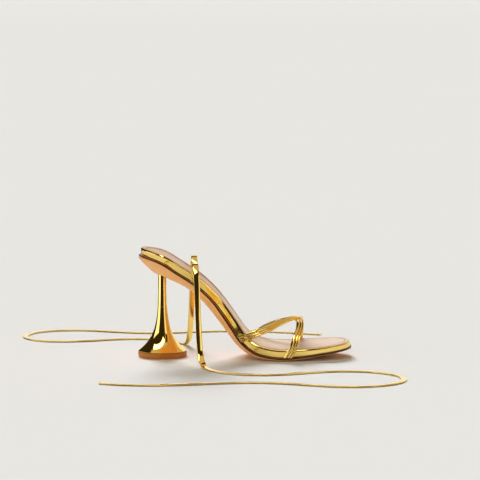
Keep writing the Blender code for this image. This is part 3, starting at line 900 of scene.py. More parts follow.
@dataclass
class Footbed:
    """Padded board wrapped in gold foil, with the nude sock that lines it."""

    wardrobe: Wardrobe
    tuck: float = 0.7 * MM  # radius of the foil's turn under the board
    tuck_start: float = 20.0  # degrees that the turn has at the side's foot
    under_sock: tuple[tuple[float, float], ...] = ((9.0 * MM, 0.35 * MM), (5.0 * MM, 0.25 * MM))
    under_inset: float = 6.0 * MM
    lean: float = 1.2 * MM  # how far the side leans in above that turn, at the heel
    low_lean: float = 0.22 * MM  # the same at the forefoot
    lean_gain: float = 8.0  # how early the lean sets in as the sole rises
    undercut: float = 0.4 * MM  # further lean on the slope to the ball
    undercut_centre: float = 0.43
    undercut_spread: float = 0.085
    bevel: float = 1.1 * MM  # height of the bevel under the board's top edge
    bevel_tilt: float = 25.0  # degrees that it leans back
    bevel_foot: float = 0.5 * MM  # radius of the turn into it
    bevel_top: float = 0.45 * MM  # radius of the turn over its top
    lining_inset: float = 1.1 * MM
    bead_width: float = 3.9 * MM
    bead_height: float = 0.75 * MM
    panel_height: float = 0.55 * MM
    base_lift: float = 0.25 * MM
    sunk: float = 0.12 * MM  # how far the sock reaches into the board
    crease: float = 0.45 * MM  # width and lift of the sewn crease
    seam_inset: float = 0.3 * MM
    seam_lift: float = 0.55 * MM
    stitch_pitch: float = 2.5 * MM
    stitch_length: float = 2.0 * MM
    thread_radius: float = 0.27 * MM
    rungs: int = 26

    def _loop(self, inset: float, depth: float, lean: float = 0.0) -> list[Vector]:
        """A loop round the board.

        Args:
            inset: Distance in from its outline.
            depth: Distance down from its top edge, where the band has its full height.
            lean: Share of the side's lean at this depth, which is greater on the slope to the ball.

        Returns:
            The loop's points.
        """

        def inward(along: float) -> float:
            slope = math.exp(-(((along - self.undercut_centre) / self.undercut_spread) ** 2))
            raised = smoothstep(SOLE.value("rise", along) * self.lean_gain)
            leaning = self.low_lean + (self.lean - self.low_lean) * raised
            return inset + lean * (leaning + self.undercut * slope)

        return SOLE.contour(inward, lambda along: depth * SOLE.band_at(along) / SOLE.band)

    def _rim(self) -> list[tuple[float, float]]:
        """Insets and depths of the board's bevelled top edge, from the top to the flat side."""
        tilt = math.radians(self.bevel_tilt)
        rows = []
        for i in range(5):
            turn = tilt * i / 4
            rows.append((self.bevel_foot * (1 - math.cos(turn)), -self.bevel_foot * math.sin(turn)))
        inset, rise = rows[-1]
        rows.append((inset + self.bevel * math.tan(tilt), rise - self.bevel))
        inset, rise = rows[-1]
        for i in range(1, 7):
            turn = tilt + (math.pi / 2 - tilt) * i / 6
            rows.append(
                (
                    inset + self.bevel_top * (math.cos(tilt) - math.cos(turn)),
                    rise - self.bevel_top * (math.sin(turn) - math.sin(tilt)),
                )
            )
        top = rows[-1][1]
        return [(inset, depth - top) for inset, depth in reversed(rows)]

    def board(self) -> bpy.types.Object:
        """Build the gold board."""
        band = SOLE.band
        rim = self._rim()
        drop = rim[-1][1]
        profile = [(inset, depth, 0.0) for inset, depth in (*self.under_sock, *rim)]
        low, start = band - self.tuck, math.radians(self.tuck_start)
        for i in range(1, 7):
            share = i / 7
            profile.append((0.0, drop + (low - drop) * share, share))
        for i in range(7):
            turn = start + (math.pi / 2 - start) * i / 6
            inset = self.tuck * (math.cos(start) - math.cos(turn))
            profile.append((inset, band - self.tuck * (1 - math.sin(turn)), 1.0))
        profile.append((self.under_inset, band, 1.0))
        plan = MeshPlan()
        rows = [plan.ring(self._loop(*row)) for row in profile]
        for before, after in zip(rows, rows[1:]):
            plan.bridge(before, after)
        plan.ladder(rows[0], 6, lambda p: p)
        plan.ladder(rows[-1], 6, lambda p: p)
        return dress(plan.make("footbed_board", self.wardrobe.foil), Slot.FOIL, "footbed")

    def _lining_profile(self) -> list[tuple[float, float]]:
        """Insets and heights of the sock: a rounded bead, a sewn crease and a flat panel."""
        start, width, tall = self.lining_inset, self.bead_width, self.bead_height
        rows = [(start + self.base_lift, -0.10 * MM)]
        for i in range(11):
            turn = math.pi * (0.03 + 0.90 * i / 10)
            rows.append((start + width * (1 - math.cos(turn)) / 2, self.base_lift + tall * math.sin(turn)))
        inner, crease = start + width, self.crease
        rows.append((inner + crease / 3, crease - 0.03 * MM))
        rows.append((inner + crease, crease))
        for i in range(1, 6):
            rows.append((inner + crease * (1 + i), crease + self.panel_height * smoothstep(i / 5)))
        return rows

    def sock(self) -> bpy.types.Object:
        """Build the padded lining."""
        plan = MeshPlan()
        rows = []
        for inset, lift in self._lining_profile():
            ring = []
            for at in SOLE.outline():
                ring.append(SOLE.on_top(at.x + at.inward.x * inset, at.y + at.inward.y * inset, lift))
            rows.append(plan.ring(ring))
        for before, after in zip(rows, rows[1:]):
            plan.bridge(before, after)
        top = self.crease + self.panel_height
        plan.ladder(rows[-1], self.rungs, lambda p: SOLE.on_top(p.x, p.y, top))
        plan.ladder(rows[0], 4, lambda p: SOLE.on_top(p.x, p.y, -self.sunk))
        return dress(plan.make("lining_sock", self.wardrobe.lining), Slot.LINING, "insole")

    def seam(self) -> bpy.types.Object:
        """Build the stitches in the sock's crease."""
        inset = self.lining_inset + self.bead_width + self.seam_inset
        line = []
        for at in SOLE.outline():
            place = SOLE.on_top(at.x + at.inward.x * inset, at.y + at.inward.y * inset, self.seam_lift)
            up = SOLE.stack(SOLE.share_at(place.x))
            line.append(PathPoint(place, Vector((at.inward.x, at.inward.y, 0.0)), up))
        plan = MeshPlan()
        count = stitches(plan, line + line[:1], self.stitch_pitch, self.stitch_length, self.thread_radius)
        LOG.info("lining stitches: %d", count)
        return dress(plan.make("lining_stitches", self.wardrobe.nude_thread), Slot.LINING)

    def build(self) -> None:
        """Build the board, its sock and the sock's seam."""
        self.board()
        self.sock()
        self.seam()


@dataclass
class Outsole:
    """Tan outsole, thin under the forefoot and boat-shaped under the waist and the heel seat."""

    wardrobe: Wardrobe
    rim_round: float = 0.35 * MM
    hull_points: int = 16
    set_back: float = 0.25 * MM
    edge_proud: float = 0.12 * MM
    edge_height: float = 1.35 * MM
    worn_keel: float = 0.09  # how much narrower the tread is under the forefoot, where its edge is rounded
    worn_from: float = 0.48
    worn_over: float = 0.14
    step_depth: float = 0.3 * MM  # of the rebate behind the dark edge, which paints the seam's shade
    overlap: float = 0.1 * MM
    sunk: float = 0.05 * MM

    def _ring(self, along: float) -> list[Vector]:
        """A section of the outsole, from the lateral keel over the rim to the medial keel."""
        seam, deep = SOLE.band_at(along) + SOLE.gap, SOLE.sole_at(along)
        worn = self.worn_keel * smoothstep((along - self.worn_from) / self.worn_over)
        keel = SOLE.value("keel", along) - worn
        grow = SOLE.lip(along)
        edge = min(SOLE.flange_edge, deep / 2)
        halves = []
        for side in Side:
            half = [
                SOLE.point(along, side.value, seam + self.step_depth, grow - 5 * self.rim_round),
                SOLE.point(along, side.value, seam + self.step_depth, grow - 2 * self.rim_round),
                SOLE.point(along, side.value, seam + edge - self.overlap, grow - 2 * self.rim_round),
            ]
            for i in range(self.hull_points + 1):
                t = i / self.hull_points
                across = side.value * (keel + (1 - keel) * (1 - t**SOLE.keel_bulge))
                depth = seam + edge + (deep - edge) * t
                half.append(SOLE.point(along, across, depth, grow - self.set_back * (1 - t)))
            halves.append(half)
        ring = list(reversed(halves[0])) + halves[1]
        return [Vector((p.x, p.y, max(p.z, 0.0))) for p in ring]

    def shell(self) -> bpy.types.Object:
        """Build the tan shell."""
        plan = MeshPlan()
        shares = SOLE.places(20, 110, 26)
        plan.tube([self._ring(share) for share in shares[1:-1]])
        return dress(plan.make("outsole_shell", self.wardrobe.sole), Slot.SOLE, "outsole")

    def edge(self) -> bpy.types.Object:
        """Build the near-black brown edge that runs round the outsole under the foil: painted shade of the
        seam, partly edge ink.
        """
        proud, tall, turned = self.edge_proud, self.edge_height, self.rim_round
        profile = (
            (-4 * turned, -self.sunk),
            (-turned, -self.sunk),
            (-0.3 * turned, 0.3 * turned),
            (0.0, turned),
            (0.0, tall - turned),
            (-0.3 * turned, tall - 0.3 * turned),
            (-turned, tall),
            (-4 * turned, tall),
        )
        plan = MeshPlan()
        rows = []
        for out, down in profile:
            loop = SOLE.contour(
                lambda along, out=out: -(SOLE.lip(along) + proud + out),
                lambda along, down=down: SOLE.band_at(along) + SOLE.gap + down,
            )
            rows.append(plan.ring([Vector((p.x, p.y, max(p.z, 0.0))) for p in loop]))
        for before, after in zip(rows, rows[1:] + rows[:1]):
            plan.bridge(before, after)
        return dress(plan.make("outsole_seam_shade_edge", self.wardrobe.seam_shade_ink), Slot.SOLE)

    def build(self) -> None:
        """Build the shell and its dark edge, which paints the seam's shade."""
        self.shell()
        self.edge()


@dataclass
class FlaredHeel:
    """Horn-shaped heel in gold plating on a round brown top piece."""

    wardrobe: Wardrobe
    stem_radius: float = 0.0039
    flare_radius: float = 0.0242
    flare_length: float = 0.0142
    hem: float = 0.45 * MM  # height of the turn at the flare's foot
    hem_out: float = 0.5 * MM
    hem_flat: float = 0.6 * MM
    tip_radius: float = 0.0244
    tip_height: float = 0.0056
    segments: int = 128
    rings: int = 90

    def _turned(self, profile: Sequence[tuple[float, float]]) -> MeshPlan:
        """Turn a profile of radii and heights round the heel's axis."""
        rings = []
        for radius, height in profile:
            turns = [2 * math.pi * i / self.segments for i in range(self.segments)]
            rings.append([Vector((radius * math.cos(a), radius * math.sin(a), height)) for a in turns])
        plan = MeshPlan()
        plan.tube(rings)
        return plan

    def horn(self) -> bpy.types.Object:
        """Build the heel, whose top stands in the outsole's seat."""
        bottom = self.tip_height + SOLE.gap
        centre = SOLE.share_at(0.0)
        top = SOLE.edge(centre) - SOLE.band_at(centre) - SOLE.sole_at(centre) / 2
        profile = [(self.flare_radius - self.hem_flat, bottom)]
        for i in range(5):
            turn = math.pi / 2 * i / 4
            out = self.flare_radius - self.hem_out * (1 - math.sin(turn))
            profile.append((out, bottom + self.hem * (1 - math.cos(turn))))
        for i in range(1, self.rings + 1):
            height = self.hem + (top - bottom - self.hem) * (i / self.rings) ** 1.5
            spread = math.exp(-(height - self.hem) / self.flare_length)
            radius = self.stem_radius + (self.flare_radius - self.stem_radius) * spread
            profile.append((radius, bottom + height))
        return dress(self._turned(profile).make("flared_heel", self.wardrobe.plating), Slot.HEEL, "heel")

    def top_piece(self) -> bpy.types.Object:
        """Build the round tip: a worn lower edge, a slightly hollow side and a rounded top edge."""
        radius, tall = self.tip_radius, self.tip_height
        profile = [
            (radius - 4.0 * MM, 0.0),
            (radius - 1.0 * MM, 0.0),
            (radius - 0.55 * MM, 0.08 * MM),
            (radius - 0.25 * MM, 0.35 * MM),
            (radius - 0.15 * MM, 0.8 * MM),
            (radius - 0.12 * MM, tall * 0.4),
            (radius - 0.08 * MM, tall * 0.7),
            (radius, tall - 1.0 * MM),
            (radius, tall - 0.5 * MM),
            (radius - 0.15 * MM, tall - 0.15 * MM),
            (radius - 0.5 * MM, tall),
            (radius - 3.0 * MM, tall),
        ]
        return dress(self._turned(profile).make("heel_top_piece", self.wardrobe.tip), Slot.TIP, "heel_tip")

    def build(self) -> None:
        """Build the horn and its top piece."""
        self.horn()
        self.top_piece()


class CordPart(NamedTuple):
    """One rolled cord of a toe strap's section."""

    beside: float  # from the strap's middle line, towards the toe
    half_width: float


@dataclass(frozen=True)
class StrapRoute:
    """Course of one toe strap from the lateral seam to the medial seam."""

    name: str
    rows: tuple[StrapRow, ...]
    feet: tuple[float, float]
    lift: float
    settle: float = 0.0


@dataclass
class ToeStraps:
    """Two toe straps of rolled cords on a lining, built as two pieces that cross."""

    wardrobe: Wardrobe
    width: float = 0.0076
    thickness: float = 0.0026
    clearance: float = 0.0005
    crossing_turn: float = 92.0
    crossing_spread: float = 26.0
    ridge_height: float = 0.0242
    ridge_slope: float = 0.14
    ridge_at: float = 0.1560
    cords: tuple[CordPart, ...] = (
        CordPart(-2.15 * MM, 1.65 * MM),
        CordPart(0.72 * MM, 1.20 * MM),
        CordPart(2.88 * MM, 0.92 * MM),
    )
    cord_height: float = 1.22 * MM
    stitch_rows: tuple[float, ...] = (-0.50 * MM, 1.95 * MM)
    stitch_pitch: float = 2.3 * MM
    stitch_length: float = 1.25 * MM
    seam_height: float = 0.72 * MM
    thread_radius: float = 0.26 * MM
    lining_height: float = 0.9 * MM
    lining_corner: float = 0.3 * MM
    settle_turn: float = 42.0  # where the over strap settles most
    settle_spread: float = 24.0
    climbs: tuple[float, ...] = (0.0, 0.17, 0.34, 0.5, 0.67, 0.84)  # stations up the band's side
    probe: float = 0.004  # share of the length over which directions are read
    ring_points: int = 18
    stations: int = 150
    over: StrapRoute = StrapRoute(
        "over",
        (
            StrapRow(0, 0.505),
            StrapRow(24, 0.555),
            StrapRow(43, 0.607),
            StrapRow(62, 0.657),
            StrapRow(78, 0.705),
            StrapRow(92, 0.740),
            StrapRow(106, 0.755),
            StrapRow(130, 0.762),
            StrapRow(156, 0.762),
            StrapRow(180, 0.760),
        ),
        (0.497, 0.758),
        0.0017,
        0.0019,
    )
    under: StrapRoute = StrapRoute(
        "under",
        (
            StrapRow(0, 0.716),
            StrapRow(25, 0.736),
            StrapRow(50, 0.753),
            StrapRow(72, 0.757),
            StrapRow(88, 0.748),
            StrapRow(104, 0.726),
            StrapRow(126, 0.688),
            StrapRow(150, 0.622),
            StrapRow(165, 0.580),
            StrapRow(180, 0.540),
        ),
        (0.697, 0.532),
        0.0,
    )

    def _settled(self, route: StrapRoute, turn: float) -> float:
        """How far a strap lies below its line on the solid, where the padded cords pull it down."""
        return route.settle * math.exp(-(((turn - self.settle_turn) / self.settle_spread) ** 2))

    def _skin(self, turn: float, along: float) -> Vector:
        """A point of the foot that the straps are shaped for."""
        angle = math.radians(turn)
        lateral, medial = SOLE.point(along, -1, 0.0), SOLE.point(along, 1, 0.0)
        ridge = self.ridge_height + self.ridge_slope * (self.ridge_at - along * SOLE.length)
        y = (medial.y + lateral.y) / 2 - (medial.y - lateral.y) / 2 * math.cos(angle)
        return Vector((lateral.x, y, SOLE.edge(along) + ridge * math.sin(angle)))

    def _side(self, side: float, along: float, depth: float) -> Vector:
        """A point of the footbed's side."""
        lean = max(depth - SOLE.edge_roll, 0.0) / (SOLE.band_at(along) - SOLE.edge_roll)
        return SOLE.point(along, side, depth, grow=-SOLE.band_taper * lean)

    def path(self, route: StrapRoute) -> list[PathPoint]:
        """Follow a strap's middle line.

        Args:
            route: The strap.

        Returns:
            Points with the directions across the strap and away from the foot.
        """
        clear = self.clearance + self.thickness / 2
        turns = [row.turn for row in route.rows]
        shares = [row.from_rim for row in route.rows]
        step = self.probe
        ends: list[list[tuple[Vector, Vector, Vector | None]]] = []
        for side, foot, share in ((-1, route.feet[0], shares[0]), (1, route.feet[1], shares[-1])):
            end: list[tuple[Vector, Vector, Vector | None]] = []
            for climbed in self.climbs:
                along = foot + (share - foot) * climbed
                depth = (SOLE.band_at(along) - SOLE.gap) * (1 - climbed)
                forward = self._side(side, along + step, depth) - self._side(side, along - step, depth)
                away = (forward.cross(SOLE.stack(along)) * -side).normalized()
                across = forward.normalized() if climbed == 0.0 else None
                end.append((self._side(side, along, depth) + away * clear, away, across))
            ends.append(end)
        over: list[tuple[Vector, Vector, Vector | None]] = []
        for i in range(self.stations + 1):
            turn = 180.0 * i / self.stations
            along = through(turns, shares, turn)
            forward = self._skin(turn, along + step) - self._skin(turn, along - step)
            around = self._skin(turn + 1, along) - self._skin(turn - 1, along)
            away = forward.cross(around).normalized()
            away = away if away.z > 0 or away.y * (turn - 90) > 0 else -away
            hump = math.exp(-(((turn - self.crossing_turn) / self.crossing_spread) ** 2))
            height = clear + route.lift * hump - self._settled(route, turn)
            over.append((self._skin(turn, along) + away * height, away, None))
        line = ends[0] + over + list(reversed(ends[1]))
        path = []
        for i, (place, away, across) in enumerate(line):
            ahead = (line[min(i + 1, len(line) - 1)][0] - line[max(i - 1, 0)][0]).normalized()
            if across is None:
                across = ahead.cross(away).normalized()
                path.append(PathPoint(place, across, across.cross(ahead).normalized()))
            else:
                across = across if across.dot(ahead.cross(away)) > 0 else -across
                path.append(PathPoint(place, across, away))
        return path

    def _cord(self, plan: MeshPlan, path: Sequence[PathPoint], cord: CordPart) -> None:
        """Add one rolled cord beside the strap's middle line."""
        rings = []
        for at in path:
            ring = []
            for k in range(self.ring_points):
                angle = 2 * math.pi * k / self.ring_points
                u = cord.beside + cord.half_width * math.cos(angle)
                v = self.thickness / 2 - self.cord_height * (1 - math.sin(angle))
                ring.append(at.place + at.across * u + at.outward * v)
            rings.append(ring)
        plan.tube(rings)

    def _lining(self, plan: MeshPlan, path: Sequence[PathPoint]) -> None:
        """Add the flat lining under the cords."""
        half, low, corner = self.width / 2 - 0.2 * MM, -self.thickness / 2, self.lining_corner
        high = low + self.lining_height
        quarter = ((half - corner, low), (half, low + corner), (half, high - corner), (half - corner, high))
        shape = [*quarter, *((-u, v) for u, v in reversed(quarter))]
        plan.tube([[at.place + at.across * u + at.outward * v for u, v in shape] for at in path])

    def strap(self, route: StrapRoute, nodes: Sequence[str]) -> bpy.types.Object:
        """Build one strap with its cords and lining."""
        path = self.path(route)
        plan = MeshPlan()
        for cord in self.cords:
            self._cord(plan, path, cord)
        self._lining(plan, path)
        return dress(plan.make(f"toe_strap_{route.name}", self.wardrobe.foil), Slot.FOIL, *nodes)

    def seams(self, route: StrapRoute) -> bpy.types.Object:
        """Build the stitches in the grooves between the cords."""
        path = self.path(route)
        plan = MeshPlan()
        for beside in self.stitch_rows:
            line = []
            for at in path:
                place = at.place + at.across * beside + at.outward * self.seam_height
                line.append(PathPoint(place, at.across, at.outward))
            stitches(plan, line, self.stitch_pitch, self.stitch_length, self.thread_radius)
        return dress(plan.make(f"toe_strap_{route.name}_stitches", self.wardrobe.gold_thread), Slot.FOIL)

    def build(self) -> None:
        """Build both straps and their seams."""
        self.strap(self.over, ["upper"])
        self.strap(self.under, ["upper"])
        self.seams(self.over)
        self.seams(self.under)


class TieRow(NamedTuple):
    """A point of a tie's middle line, in metres."""

    x: float
    y: float
    z: float


LYING = 0.00085  # height of a tie's middle line where it lies on the floor


def on_floor(*places: tuple[float, float]) -> tuple[TieRow, ...]:
    """Rows of a tie where it lies on the floor."""
    return tuple(TieRow(x, y, LYING) for x, y in places)


TIE_LATERAL = (
    TieRow(0.0312, -0.0238, 0.0778),
    TieRow(0.0316, -0.0256, 0.0840),
    TieRow(0.0325, -0.0285, 0.0915),
    TieRow(0.0332, -0.0350, 0.0968),
    TieRow(0.0340, -0.0430, 0.0962),
    TieRow(0.0348, -0.0495, 0.0893),
    TieRow(0.0356, -0.0535, 0.0770),
    TieRow(0.0363, -0.0560, 0.0600),
    TieRow(0.0370, -0.0582, 0.0410),
    TieRow(0.0379, -0.0610, 0.0235),
    TieRow(0.0395, -0.0662, 0.0098),
    TieRow(0.0420, -0.0755, 0.0026),
    *on_floor(
        (0.0460, -0.0880), (0.0540, -0.1040), (0.0680, -0.1180), (0.0860, -0.1255),
        (0.1060, -0.1265), (0.1260, -0.1210), (0.1450, -0.1125), (0.1650, -0.1055),
        (0.1860, -0.1040), (0.2060, -0.1095), (0.2220, -0.1220), (0.2310, -0.1395),
        (0.2315, -0.1590), (0.2235, -0.1770), (0.2085, -0.1900), (0.1895, -0.1965),
        (0.1690, -0.1960), (0.1490, -0.1900), (0.1300, -0.1820), (0.1105, -0.1755),
        (0.0900, -0.1730), (0.0695, -0.1745), (0.0492, -0.1790), (0.0288, -0.1842),
        (0.0080, -0.1880), (-0.0130, -0.1885), (-0.0335, -0.1850), (-0.0528, -0.1775),
    ),
)
TIE_MEDIAL = (
    TieRow(0.0312, 0.0225, 0.0778),
    TieRow(0.0316, 0.0243, 0.0840),
    TieRow(0.0318, 0.0272, 0.0915),
    TieRow(0.0315, 0.0337, 0.0968),
    TieRow(0.0309, 0.0417, 0.0962),
    TieRow(0.0302, 0.0482, 0.0893),
    TieRow(0.0295, 0.0522, 0.0770),
    TieRow(0.0288, 0.0547, 0.0600),
    TieRow(0.0280, 0.0569, 0.0410),
    TieRow(0.0270, 0.0597, 0.0235),
    TieRow(0.0253, 0.0649, 0.0098),
    TieRow(0.0225, 0.0740, 0.0026),
    *on_floor(
        (0.0175, 0.0860), (0.0075, 0.1010), (-0.0075, 0.1125), (-0.0260, 0.1180),
        (-0.0455, 0.1170), (-0.0645, 0.1105), (-0.0830, 0.1030), (-0.1020, 0.0985),
        (-0.1215, 0.1005), (-0.1380, 0.1100), (-0.1480, 0.1265), (-0.1495, 0.1460),
        (-0.1425, 0.1645), (-0.1280, 0.1780), (-0.1090, 0.1840), (-0.0890, 0.1835),
        (-0.0695, 0.1775), (-0.0505, 0.1700), (-0.0310, 0.1645), (-0.0110, 0.1630),
        (0.0090, 0.1660), (0.0285, 0.1715), (0.0483, 0.1762), (0.0685, 0.1785),
        (0.0888, 0.1775), (0.1087, 0.1735), (0.1280, 0.1670), (0.1468, 0.1590),
        (0.1640, 0.1512),
    ),
)


@dataclass
class AnkleTie:
    """One flat folded tie that falls from the seam to the floor and lies in loose curves."""

    wardrobe: Wardrobe
    name: str
    node: str
    rows: tuple[TieRow, ...]
    width: float = 0.0060
    thickness: float = 0.0015
    root_share: float = 0.65
    root_length: float = 0.012
    stations: int = 620
    fine_steps: int = 24
    ring_points: int = 28
    edge_fullness: float = 0.45  # exponents of the section, below 1 towards a rectangle
    face_fullness: float = 0.60
    crown: float = 0.14
    sway: float = 3.0  # degrees that the lying part rocks to either side
    sway_from: float = 0.16
    sway_over: float = 0.04
    sway_waves: tuple[float, float] = (61.0, 17.0)
    sway_shift: float = 1.3

    @staticmethod
    def _spline(before: Vector, start: Vector, end: Vector, after: Vector, t: float) -> Vector:
        """A smooth curve from start to end that passes through its neighbours' points."""
        a = 2 * start
        b = end - before
        c = 2 * before - 5 * start + 4 * end - after
        d = -before + 3 * start - 3 * end + after
        return (a + b * t + c * t * t + d * t**3) / 2

    def centreline(self) -> tuple[list[PathPoint], float]:
        """Follow the tie's middle line at equal steps.

        Returns:
            Its points with their directions, and its length.
        """
        points = [Vector(row) for row in self.rows]
        points = [2 * points[0] - points[1], *points, 2 * points[-1] - points[-2]]
        fine = []
        for i in range(1, len(points) - 2):
            for step in range(self.fine_steps):
                fine.append(self._spline(*points[i - 1 : i + 3], step / self.fine_steps))
        fine.append(points[-2])
        lengths = [0.0]
        for before, after in zip(fine, fine[1:]):
            lengths.append(lengths[-1] + (after - before).length)
        path = []
        for i in range(self.stations):
            at = lengths[-1] * i / (self.stations - 1)
            j = min(max(bisect_right(lengths, at) - 1, 0), len(fine) - 2)
            share = (at - lengths[j]) / (lengths[j + 1] - lengths[j])
            ahead = (fine[min(j + 6, len(fine) - 1)] - fine[max(j - 5, 0)]).normalized()
            across = Vector((-ahead.y, ahead.x, 0.0)).normalized()
            path.append(PathPoint(fine[j].lerp(fine[j + 1], share), across, ahead.cross(across)))
        return path, lengths[-1]

    def _section(self) -> list[tuple[float, float]]:
        """Half width and half thickness shares of the folded strap: full edges and a crowned face."""
        shape = []
        for k in range(self.ring_points):
            angle = 2 * math.pi * k / self.ring_points
            c, s = math.cos(angle), math.sin(angle)
            u = math.copysign(abs(c) ** self.edge_fullness, c)
            v = math.copysign(abs(s) ** self.face_fullness, s)
            shape.append((u, v * (1 - self.crown * u * u)))
        return shape

    def build(self) -> None:
        path, length = self.centreline()
        shape = self._section()
        plan = MeshPlan()
        rings = []
        for i, at in enumerate(path):
            travelled = length * i / (len(path) - 1)
            narrow = self.root_share + (1 - self.root_share) * smoothstep(travelled / self.root_length)
            lying = smoothstep((travelled - self.sway_from) / self.sway_over)
            quick, slow = (travelled * wave for wave in self.sway_waves)
            sway = math.radians(self.sway) * lying * math.sin(quick + self.sway_shift) * math.sin(slow)
            across = at.across * math.cos(sway) + at.outward * math.sin(sway)
            outward = at.outward * math.cos(sway) - at.across * math.sin(sway)
            raised = abs(math.sin(sway)) * self.width / 2
            place = at.place + Vector((0.0, 0.0, raised))
            half, thick = self.width / 2 * narrow, self.thickness / 2
            rings.append([place + across * u * half + outward * v * thick for u, v in shape])
        plan.tube(rings)
        piece = dress(plan.make(self.name, self.wardrobe.foil), Slot.FOIL, self.node)
        LOG.info("%s: %.3f m long", self.name, length)


class Lamp(NamedTuple):
    """A distant soft light."""

    name: str
    power: float
    spread: float  # degrees across its disc
    way: tuple[float, float, float]  # direction in which it hangs
    colour: tuple[float, float, float]


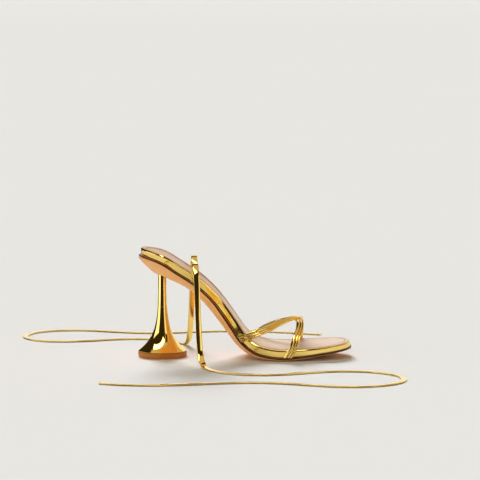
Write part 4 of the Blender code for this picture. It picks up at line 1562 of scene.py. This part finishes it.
@dataclass
class Studio:
    """Pale floor, soft light and a camera where the photograph was taken from."""

    aim: tuple[float, float, float] = (0.0778, 0.0, 0.1172)
    distance: float = 2.4
    elevation: float = 5.7
    lens: float = 180.0
    floor_reach: float = 900.0
    lit_radius: float = 0.64  # beyond it, mirrors see the far floor
    far_reach: float = 50.0
    ambient: float = 0.33
    bounce: float = 0.8  # share of warm bounce in the ambient light
    neutral: tuple[float, float, float] = (1.0, 0.98, 0.94)
    warm: tuple[float, float, float] = (1.0, 0.72, 0.34)
    backdrop: tuple[float, float, float] = (0.807, 0.799, 0.767)
    floor_tones: tuple[tuple[float, ...], ...] = ((0.828, 0.832, 0.836, 1.0), (0.838, 0.842, 0.846, 1.0))
    lights: tuple[Lamp, ...] = (
        Lamp("overhead", 3.65, 26, (-0.12, 0.83, 0.55), (0.955, 1.0, 1.045)),
        Lamp("front_fill", 0.95, 70, (-0.35, -0.85, 0.30), (1.0, 0.985, 0.96)),
    )
    panels: bpy.types.NodeTree = field(init=False)

    def __post_init__(self) -> None:
        """Build the panels that light the studio."""
        self.panels = StudioPanels().group()

    def camera(self) -> None:
        """Place the camera."""
        data = bpy.data.cameras.new("camera")
        data.lens, data.sensor_width = self.lens, 36.0
        data.clip_start, data.clip_end = 0.05, 3000.0
        camera = bpy.data.objects.new("camera", data)
        angle = math.radians(self.elevation)
        back = Vector((0.0, -math.cos(angle), math.sin(angle)))
        camera.location = Vector(self.aim) + back * self.distance
        camera.rotation_euler = (-back).to_track_quat("-Z", "Y").to_euler()
        bpy.context.scene.collection.objects.link(camera)
        bpy.context.scene.camera = camera

    def floor(self) -> None:
        """Lay the floor."""
        plan = MeshPlan()
        reach = self.floor_reach
        corners = ((-reach, -reach), (reach, -reach), (reach, reach), (-reach, reach))
        plan.cap(plan.ring([Vector((x, y, 0.0)) for x, y in corners]))
        material, bench, shader = principled("studio_floor")
        place = bench.add("TexCoord").outputs["Object"]
        tone = bench.add("TexNoise", Vector=place, Scale=0.8, Detail=1.0)
        bench.feed(shader.inputs["Base Color"], bench.blend(tone.outputs[0], *self.floor_tones))
        shader.inputs["Roughness"].default_value = 0.8
        shader.inputs["Specular IOR Level"].default_value = 0.0
        floor = plan.make("studio_floor", material)

    def surroundings(self) -> None:
        """Light the scene with the studio's panels, and show the camera a plain backdrop."""
        world = bpy.data.worlds.new("studio")
        world.use_nodes = True
        bpy.context.scene.world = world
        bench = Bench(world.node_tree)
        panels = bench.add("Group", {"node_tree": self.panels})
        bench.feed(panels.inputs[0], bench.add("TexCoord").outputs["Generated"])
        ray = bench.add("LightPath")
        bounce = bench.math("MULTIPLY", ray.outputs["Is Diffuse Ray"], self.bounce)
        warmth = bench.math("MULTIPLY_ADD", panels.outputs["Warmth"], ray.outputs["Is Glossy Ray"], bounce)
        dimmed = bench.math("MULTIPLY_ADD", ray.outputs["Is Diffuse Ray"], self.ambient - 1.0, 1.0)
        lit = bench.add("Background", Strength=bench.math("MULTIPLY", panels.outputs["Light"], dimmed))
        bench.feed(lit.inputs["Color"], bench.blend(warmth, (*self.neutral, 1), (*self.warm, 1)))
        seen = bench.add("Background", Color=(*self.backdrop, 1), Strength=1.0)
        mixed = bench.add("MixShader")
        bench.feed(mixed.inputs[0], ray.outputs["Is Camera Ray"])
        bench.feed(mixed.inputs[1], lit.outputs[0])
        bench.feed(mixed.inputs[2], seen.outputs[0])
        bench.feed(world.node_tree.nodes["World Output"].inputs["Surface"], mixed.outputs[0])

    def far_floor(self) -> None:
        """Let mirrors see the studio's far floor, which falls off into the dark between the lights."""
        plan = MeshPlan()
        turns = [2 * math.pi * i / 96 for i in range(96)]
        rows = [
            plan.ring([Vector((math.cos(a) * r + self.aim[0], math.sin(a) * r, 0.4 * MM)) for a in turns])
            for r in (self.lit_radius, self.far_reach)
        ]
        plan.bridge(*rows)
        material = bpy.data.materials.new("far_floor")
        material.use_nodes = True
        bench = Bench(material.node_tree)
        material.node_tree.nodes.remove(material.node_tree.nodes["Principled BSDF"])
        panels = bench.add("Group", {"node_tree": self.panels})
        bench.feed(panels.inputs[0], bench.add("TexCoord").outputs["Object"])
        glow = bench.add("Emission", Strength=panels.outputs["Light"])
        tint = bench.blend(panels.outputs["Warmth"], (*self.neutral, 1), (*self.warm, 1))
        bench.feed(glow.inputs["Color"], tint)
        bench.feed(material.node_tree.nodes["Material Output"].inputs["Surface"], glow.outputs[0])
        card = plan.make("far_floor", material)
        card.visible_camera = False
        card.visible_diffuse = False
        card.visible_shadow = False
        card.visible_transmission = False

    def lamps(self) -> None:
        """Hang the light from above and behind that draws the shadow, and a weak fill from the front."""
        for light in self.lights:
            data = bpy.data.lights.new(light.name, "SUN")
            data.energy, data.angle = light.power, math.radians(light.spread)
            data.color = light.colour
            lamp = bpy.data.objects.new(light.name, data)
            lamp.rotation_euler = Vector(light.way).to_track_quat("Z", "Y").to_euler()
            lamp.visible_glossy = False
            bpy.context.scene.collection.objects.link(lamp)

    def build(self) -> None:
        """Set up the camera, floor and light."""
        self.camera()
        self.floor()
        self.surroundings()
        self.far_floor()
        self.lamps()
        bpy.context.scene.view_settings.view_transform = "Standard"


def main() -> None:
    """Dress the sandal and light it."""
    logging.basicConfig(level=logging.INFO, format="%(name)s: %(message)s")
    wardrobe = Wardrobe()
    studio = Studio()
    studio.build()
    AnkleTie(wardrobe, "lateral_tie", "tie_lateral", TIE_LATERAL).build()
    AnkleTie(wardrobe, "medial_tie", "tie_medial", TIE_MEDIAL).build()
    Outsole(wardrobe).build()
    Footbed(wardrobe).build()
    FlaredHeel(wardrobe).build()
    ToeStraps(wardrobe).build()


if __name__ == "__main__":
    main()
